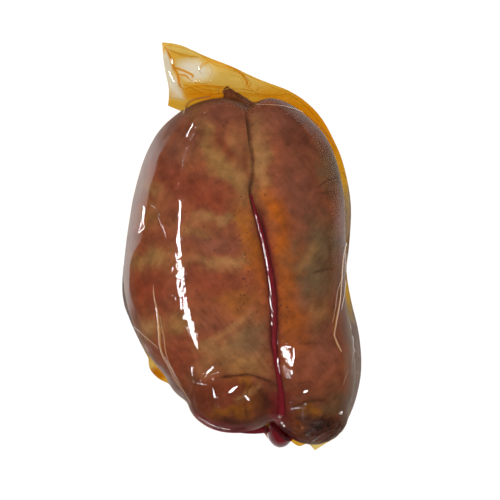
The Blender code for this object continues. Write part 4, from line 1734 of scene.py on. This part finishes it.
    def build(self, surface: BVHTree, light: Vector, effects: Effects) -> bpy.types.Object:
        """Lays the glints on the film and tips them.

        Args:
            surface: The film.
            light: The place of the light that they mirror.
            effects: The shared effects.

        Returns:
            The object.
        """
        finish = GlintFinish(effects).build()
        made = ribbons("film_glints", self.strands, surface, self.lift, 0.0, finish)
        points = mesh_points(made.data)
        facing = self.towards(light, points) + self.towards(EYE, points)
        facing /= np.linalg.norm(facing, axis=1)[:, None]
        layer = made.data.attributes.new("facing", "FLOAT_VECTOR", "POINT")
        layer.data.foreach_set("vector", facing.astype(np.float32).ravel())
        finish_piece(made, finish)
        return made

    @staticmethod
    def towards(target: Vector, points: np.ndarray) -> np.ndarray:
        """Unit vectors from points to a target."""
        run = np.array(target) - points
        return run / np.linalg.norm(run, axis=1)[:, None]


@dataclass
class Tucks:
    """Creases of the film that stand up from it, golden from their layers."""

    crown: float = 0.4
    strands: tuple[Strand, ...] = (
        Strand(((-58.5, -25, 0.3), (-58, -32.5, 0.6), (-56, -41.5, 0.8), (-55, -50, 1),
                (-54.5, -56.5, 1.2), (-54, -64.5, 1.2), (-52, -72, 0.9), (-48.5, -78.5, 0.7),
                (-45.5, -85, 0.6), (-42, -90.5, 0.6), (-38.5, -95, 0.5), (-33.5, -103.5, 0.4))),
        Strand(((-54, -45.5, 0.3), (-53, -52, 0.6), (-51.5, -58, 0.6), (-51, -63, 0.6), (-50, -70, 0.5),
                (-47.5, -77.5, 0.5), (-44, -85.5, 0.5), (-39.5, -91.5, 0.4)), 0.7),
        Strand(((-73, -51, 0.4), (-69.5, -54, 0.5), (-64.5, -58.5, 0.6), (-59, -63, 0.6),
                (-55, -67, 0.4)), 0.7),
        Strand(((71, 8.5, 0.6), (68.5, 1, 0.9), (66.5, -8.5, 1.3), (65.5, -21.5, 1.4), (64.5, -35, 1.3),
                (62.5, -46.5, 1.2), (60.5, -58.5, 0.6))),
        Strand(((60.5, -57.5, 0.5), (62.5, -63, 0.9), (65.5, -69, 0.5))),
        Strand(((68, -3, 0.5), (68.5, -15, 0.8), (68, -28, 0.8), (65.5, -41.5, 0.5)), 0.8),
        Strand(((66.5, -19, 0.4), (63, -29, 0.7), (61.5, -40, 0.6), (59.5, -50, 0.4)), 0.6),
        Strand(((66.5, 49.5, 0.5), (69.5, 44.5, 0.9), (71.5, 36.5, 1), (72.5, 27, 1), (72.5, 16.5, 1),
                (71, 7.5, 1), (69.5, -3, 0.8)), 0.8),
        Strand(((8.5, 94.5, 0.4), (18.5, 94, 0.5), (28.5, 93, 0.5), (38.5, 90, 0.5), (48, 82.5, 0.5),
                (57, 73.5, 0.5), (62.5, 63, 0.4)), 0.7),
        Strand(((-38.5, 88, 0.5), (-37, 93, 0.9), (-33, 97, 0.9), (-27.5, 98.5, 0.9),
                (-21, 99.5, 0.6))),
        Strand(((71, -49.5, 0.4), (73, -58, 0.5), (73.5, -68, 0.5), (72.5, -77, 0.4)), 0.5),
        Strand(((70, -80.5, 0.4), (68.5, -85.5, 0.5), (66.5, -91, 0.4)), 0.5),
        Strand(((73, -64, 0.4), (75, -70, 0.5), (77.5, -75, 0.4)), 0.5),
    )

    def build(self, surface: BVHTree) -> bpy.types.Object:
        """Stands the creases on the film."""
        finish = TuckFinish().build()
        made = ribbons("film_tucks", self.strands, surface, 0.0, self.crown, finish)
        finish_piece(made, finish)
        return made


@dataclass
class Creases:
    """Sharp creases in the loose film of the tail, deep orange where layers lie together."""

    crown: float = 0.3
    lift: float = 0.05 * MM
    finish: TuckFinish = TuckFinish(
        "film_creases", (0.95, 0.68, 0.16, 1.0), (0.70, 0.33, 0.008, 1.0), depth=0.5, index=1.5
    )
    strands: tuple[Strand, ...] = (
        Strand(((-51, 132.5, 0.3), (-48.5, 128, 0.6), (-46, 122, 0.7), (-45, 118, 0.5), (-43, 115, 0.7),
                (-42, 111.5, 0.6), (-41.5, 107.5, 0.7), (-38.5, 104, 0.4))),
        Strand(((-45, 118.5, 0.3), (-41, 117.5, 0.5), (-36, 115.5, 0.5), (-32.5, 113.5, 0.4),
                (-33.5, 111.5, 0.3)), 0.9),
        Strand(((-42, 114, 0.3), (-37.5, 113.5, 0.4), (-34.5, 111, 0.3), (-30, 108.5, 0.4),
                (-24, 108, 0.3)), 0.8),
        Strand(((-49.5, 131.5, 0.5), (-45, 129, 1), (-40, 127.5, 1.3), (-34, 126, 1.2),
                (-29, 125.5, 0.6)), 0.45),
        Strand(((-50, 133.5, 0.3), (-37.5, 131, 0.3), (-27.5, 127, 0.4), (-19, 121, 0.4),
                (-9.5, 117.5, 0.3), (1.5, 114, 0.4), (12.5, 109.5, 0.3)), 0.6),
        Strand(((-39, 104, 0.4), (-34.5, 105.5, 0.5), (-28.5, 107, 0.4), (-20.5, 106.5, 0.6),
                (-13, 106, 0.5), (-8, 107, 0.3))),
        Strand(((-41, 108, 0.3), (-36, 106.5, 0.5), (-31, 104, 0.4), (-27, 102, 0.3)), 0.8),
        Strand(((-33, 107.5, 0.3), (-26, 104.5, 0.5), (-17, 103.5, 0.4), (-9, 104.5, 0.3)), 0.9),
        Strand(((-36, 101, 0.3), (-28, 101.5, 0.4), (-20, 100.5, 0.4), (-12, 102.5, 0.3)), 0.8),
        Strand(((-24, 108.5, 0.3), (-21, 104, 0.3), (-20, 99.5, 0.3)), 0.6),
        Strand(((-14, 107, 0.3), (-15.5, 103, 0.3), (-14.5, 99.5, 0.3)), 0.6),
        Strand(((-13, 120, 0.3), (-6.5, 118.5, 0.5), (-1.5, 115.5, 0.7), (1.5, 112.5, 0.8),
                (3.5, 109, 0.6), (2, 106, 0.3)), 0.8),
        Strand(((-8, 113.5, 0.3), (-3, 113, 0.4), (0, 110.5, 0.4), (0.5, 107.5, 0.3)), 0.4),
        Strand(((-25.5, 122.5, 0.3), (-28.5, 117.5, 0.4), (-26, 114, 0.3)), 0.4),
        Strand(((-22.5, 121.5, 0.2), (-19.5, 116.5, 0.3), (-21.5, 112, 0.2)), 0.3),
        Strand(((-18, 105, 0.3), (-6, 104.5, 0.3), (3, 104, 0.4), (12, 101, 0.3)), 0.8),
        Strand(((-4.5, 102.5, 0.3), (4.5, 101.5, 0.3), (17, 100.5, 0.5), (33.5, 101, 0.3))),
        Strand(((3, 112, 0.3), (6, 108, 0.5), (4.5, 105.5, 0.4), (8, 103.5, 0.3)), 0.7),
        Strand(((8.5, 107.5, 0.3), (11.5, 105, 0.4), (9, 103.5, 0.3)), 0.6),
        Strand(((18, 106.5, 0.3), (30, 101.5, 0.5), (41, 94, 0.6), (50, 84, 0.5), (57, 72, 0.3)), 0.5),
        Strand(((-49, 99, 0.3), (-44, 98.5, 0.6), (-39, 97.5, 0.3)), 0.5),
    )

    def build(self, surface: BVHTree) -> bpy.types.Object:
        """Lays the creases on the tail as low ridges."""
        finish = self.finish.build()
        made = ribbons("film_creases", self.strands, surface, self.lift, self.crown, finish)
        finish_piece(made, finish)
        return made


@dataclass
class Specks:
    """Pores and chilli grains that show in the casing."""

    density: float = 1.6e5
    largest: float = 0.62 * MM
    seed: int = 5
    elsewhere: float = 0.04
    top_from: float = 0.2
    patches: tuple[Patch, ...] = (
        Patch(Crowd.MANY, (30, -45), (4, 8), 0, 0.9),
        Patch(Crowd.MANY, (31, -98), (7, 10), 0, 0.9),
        Patch(Crowd.MANY, (4, 37), (3, 9), 0, 0.9),
        Patch(Crowd.SOME, (2, -14), (10, 30), 0, 0.6),
        Patch(Crowd.SOME, (-12, -98), (16, 9), 0, 0.3),
    )

    def build(self, meat: bpy.types.Object) -> bpy.types.Object:
        """Strews the specks over the meat."""
        made = new_object("casing_specks", meat.data.copy())
        points, normals = mesh_points(made.data), mesh_normals(made.data)
        share = np.full((len(points), 1), self.elsewhere)
        share = paint_over(share, self.patches, points[:, :2] / MM)
        keep_values(made.data, "speck", share[:, 0] * (normals[:, 2] > self.top_from))
        finish = SpeckFinish().build()
        grow(
            made, speck_tree(), Density=self.density, Largest=self.largest, Seed=self.seed,
            Material=finish,
        )
        finish_piece(made, finish)
        return made


@dataclass
class Studio:
    """A white floor, a wide soft light overhead, a strip of light at the left and a camera."""

    floor_size: float = 8.0
    floor_colour: Colour = (0.30, 0.30, 0.30, 1.0)
    floor_roughness: float = 0.9
    floor_glow: float = 0.85
    floor_mirrored: float = 1.8
    field: float = 0.33
    sensor: float = 36.0
    strip_tilt: float = 36.0
    strip_away: float = 1.6
    strip_lean: float = -0.16
    strip_size: Point = (0.055, 1.1)
    strip_watts: float = 6.5
    strip_over: float = 60 * MM
    soft_size: Point = (2.0, 2.0)
    soft_place: tuple[float, float, float] = (0.6, 0.1, 2.4)
    soft_watts: float = 29.0
    fill: Colour = (0.76, 0.76, 0.76, 1.0)
    low_fill: Colour = (0.10, 0.10, 0.10, 1.0)
    mirrored: Colour = (0.07, 0.07, 0.075, 1.0)
    backdrop: Colour = (0.9, 0.9, 0.9, 1.0)
    ceiling_from: float = 0.8

    def build(self) -> None:
        """Sets the stage, the lights and the camera."""
        self.build_floor()
        self.build_world()
        self.build_strip()
        self.build_soft()
        self.build_camera()
        view = bpy.context.scene.view_settings
        view.view_transform = "Standard"
        view.look = "None"

    def build_floor(self) -> None:
        """A plain floor that looks white, so that shadows on it stay faint."""
        half = self.floor_size / 2
        corners = np.array([(-half, -half, 0), (half, -half, 0), (half, half, 0), (-half, half, 0)])
        floor = new_object("floor", new_mesh("floor", corners, [(0, 1, 2, 3)]))
        material, graph = new_material("floor_white")
        shader = graph.add("BsdfPrincipled", Roughness=self.floor_roughness)
        path = graph.add("LightPath")
        mirrored = graph.math("MULTIPLY", path.outputs["Is Glossy Ray"], self.floor_mirrored)
        seen = path.outputs["Is Camera Ray"]
        glow = graph.math("MULTIPLY_ADD", seen, self.floor_glow, mirrored)
        graph.feed(shader, "Base Color", self.floor_colour)
        graph.feed(shader, "Emission Color", WHITE)
        graph.feed(shader, "Emission Strength", glow)
        graph.add("OutputMaterial", Surface=shader.outputs["BSDF"])
        floor.data.materials.append(material)

    def build_world(self) -> None:
        """A room lit from its ceiling, which the gloss of the film hardly mirrors."""
        world = bpy.data.worlds.new("room")
        world.use_nodes = True
        bpy.context.scene.world = world
        graph = Graph(world.node_tree)
        path = graph.add("LightPath")
        way = graph.add("SeparateXYZ", Vector=graph.add("TexCoord").outputs["Generated"])
        overhead = graph.ranged(way.outputs["Z"], (0.0, self.ceiling_from))
        ceiling = graph.mix(overhead, self.low_fill, self.fill)
        colour = graph.mix(path.outputs["Is Glossy Ray"], ceiling, self.mirrored)
        colour = graph.mix(path.outputs["Is Camera Ray"], colour, self.backdrop)
        back = graph.add("Background", Color=colour, Strength=1.0)
        graph.add("OutputWorld", Surface=back.outputs["Background"])

    def build_strip(self) -> None:
        """The long window-like light at the left."""
        strip = new_light("strip", self.strip_size, self.strip_watts)
        strip.location = self.strip_place()
        strip.rotation_euler = (0, -math.radians(self.strip_tilt), 0)

    def strip_place(self) -> Vector:
        """Where the strip of light hangs."""
        tilt = math.radians(self.strip_tilt)
        way = Vector((-math.sin(tilt), self.strip_lean, math.cos(tilt)))
        return Vector((0, 0, self.strip_over)) + self.strip_away * way

    def build_soft(self) -> None:
        """The wide light overhead, which the gloss of the film doesn't mirror."""
        soft = new_light("soft", self.soft_size, self.soft_watts)
        soft.location = self.soft_place
        soft.visible_glossy = False

    def build_camera(self) -> None:
        """The camera, straight above."""
        camera = bpy.data.cameras.new("overhead")
        camera.sensor_width = self.sensor
        camera.lens = self.sensor * (EYE.z - SEEN_HEIGHT) / self.field
        made = new_object("overhead", camera)
        made.location = EYE
        bpy.context.scene.camera = made


def shared_surface(*pieces: bpy.types.Object) -> BVHTree:
    """The surface of several pieces, for lines of sight to meet."""
    points, faces = [], []
    for piece in pieces:
        start = len(points)
        points += [vert.co.copy() for vert in piece.data.vertices]
        faces += [[start + index for index in face.vertices] for face in piece.data.polygons]
    return BVHTree.FromPolygons(points, faces)


def main() -> None:
    """Builds and dresses the pack, then the studio."""
    logging.basicConfig(level=logging.INFO, format="%(message)s")
    effects = Effects.build()
    pouch = Pouch()
    pieces = []
    for part in (Sausage(pouch), Juice(), SkinFilm(pouch), LooseFilm()):
        pieces.append(part.build())
        part.dress(pieces[-1], effects)
    meat, _, skin, loose = pieces
    surface = shared_surface(skin, loose)
    Specks().build(meat)
    Tucks().build(surface)
    Creases().build(surface)
    studio = Studio()
    Glints().build(surface, studio.strip_place(), effects)
    studio.build()
    bpy.context.view_layer.update()


if __name__ == "__main__":
    main()
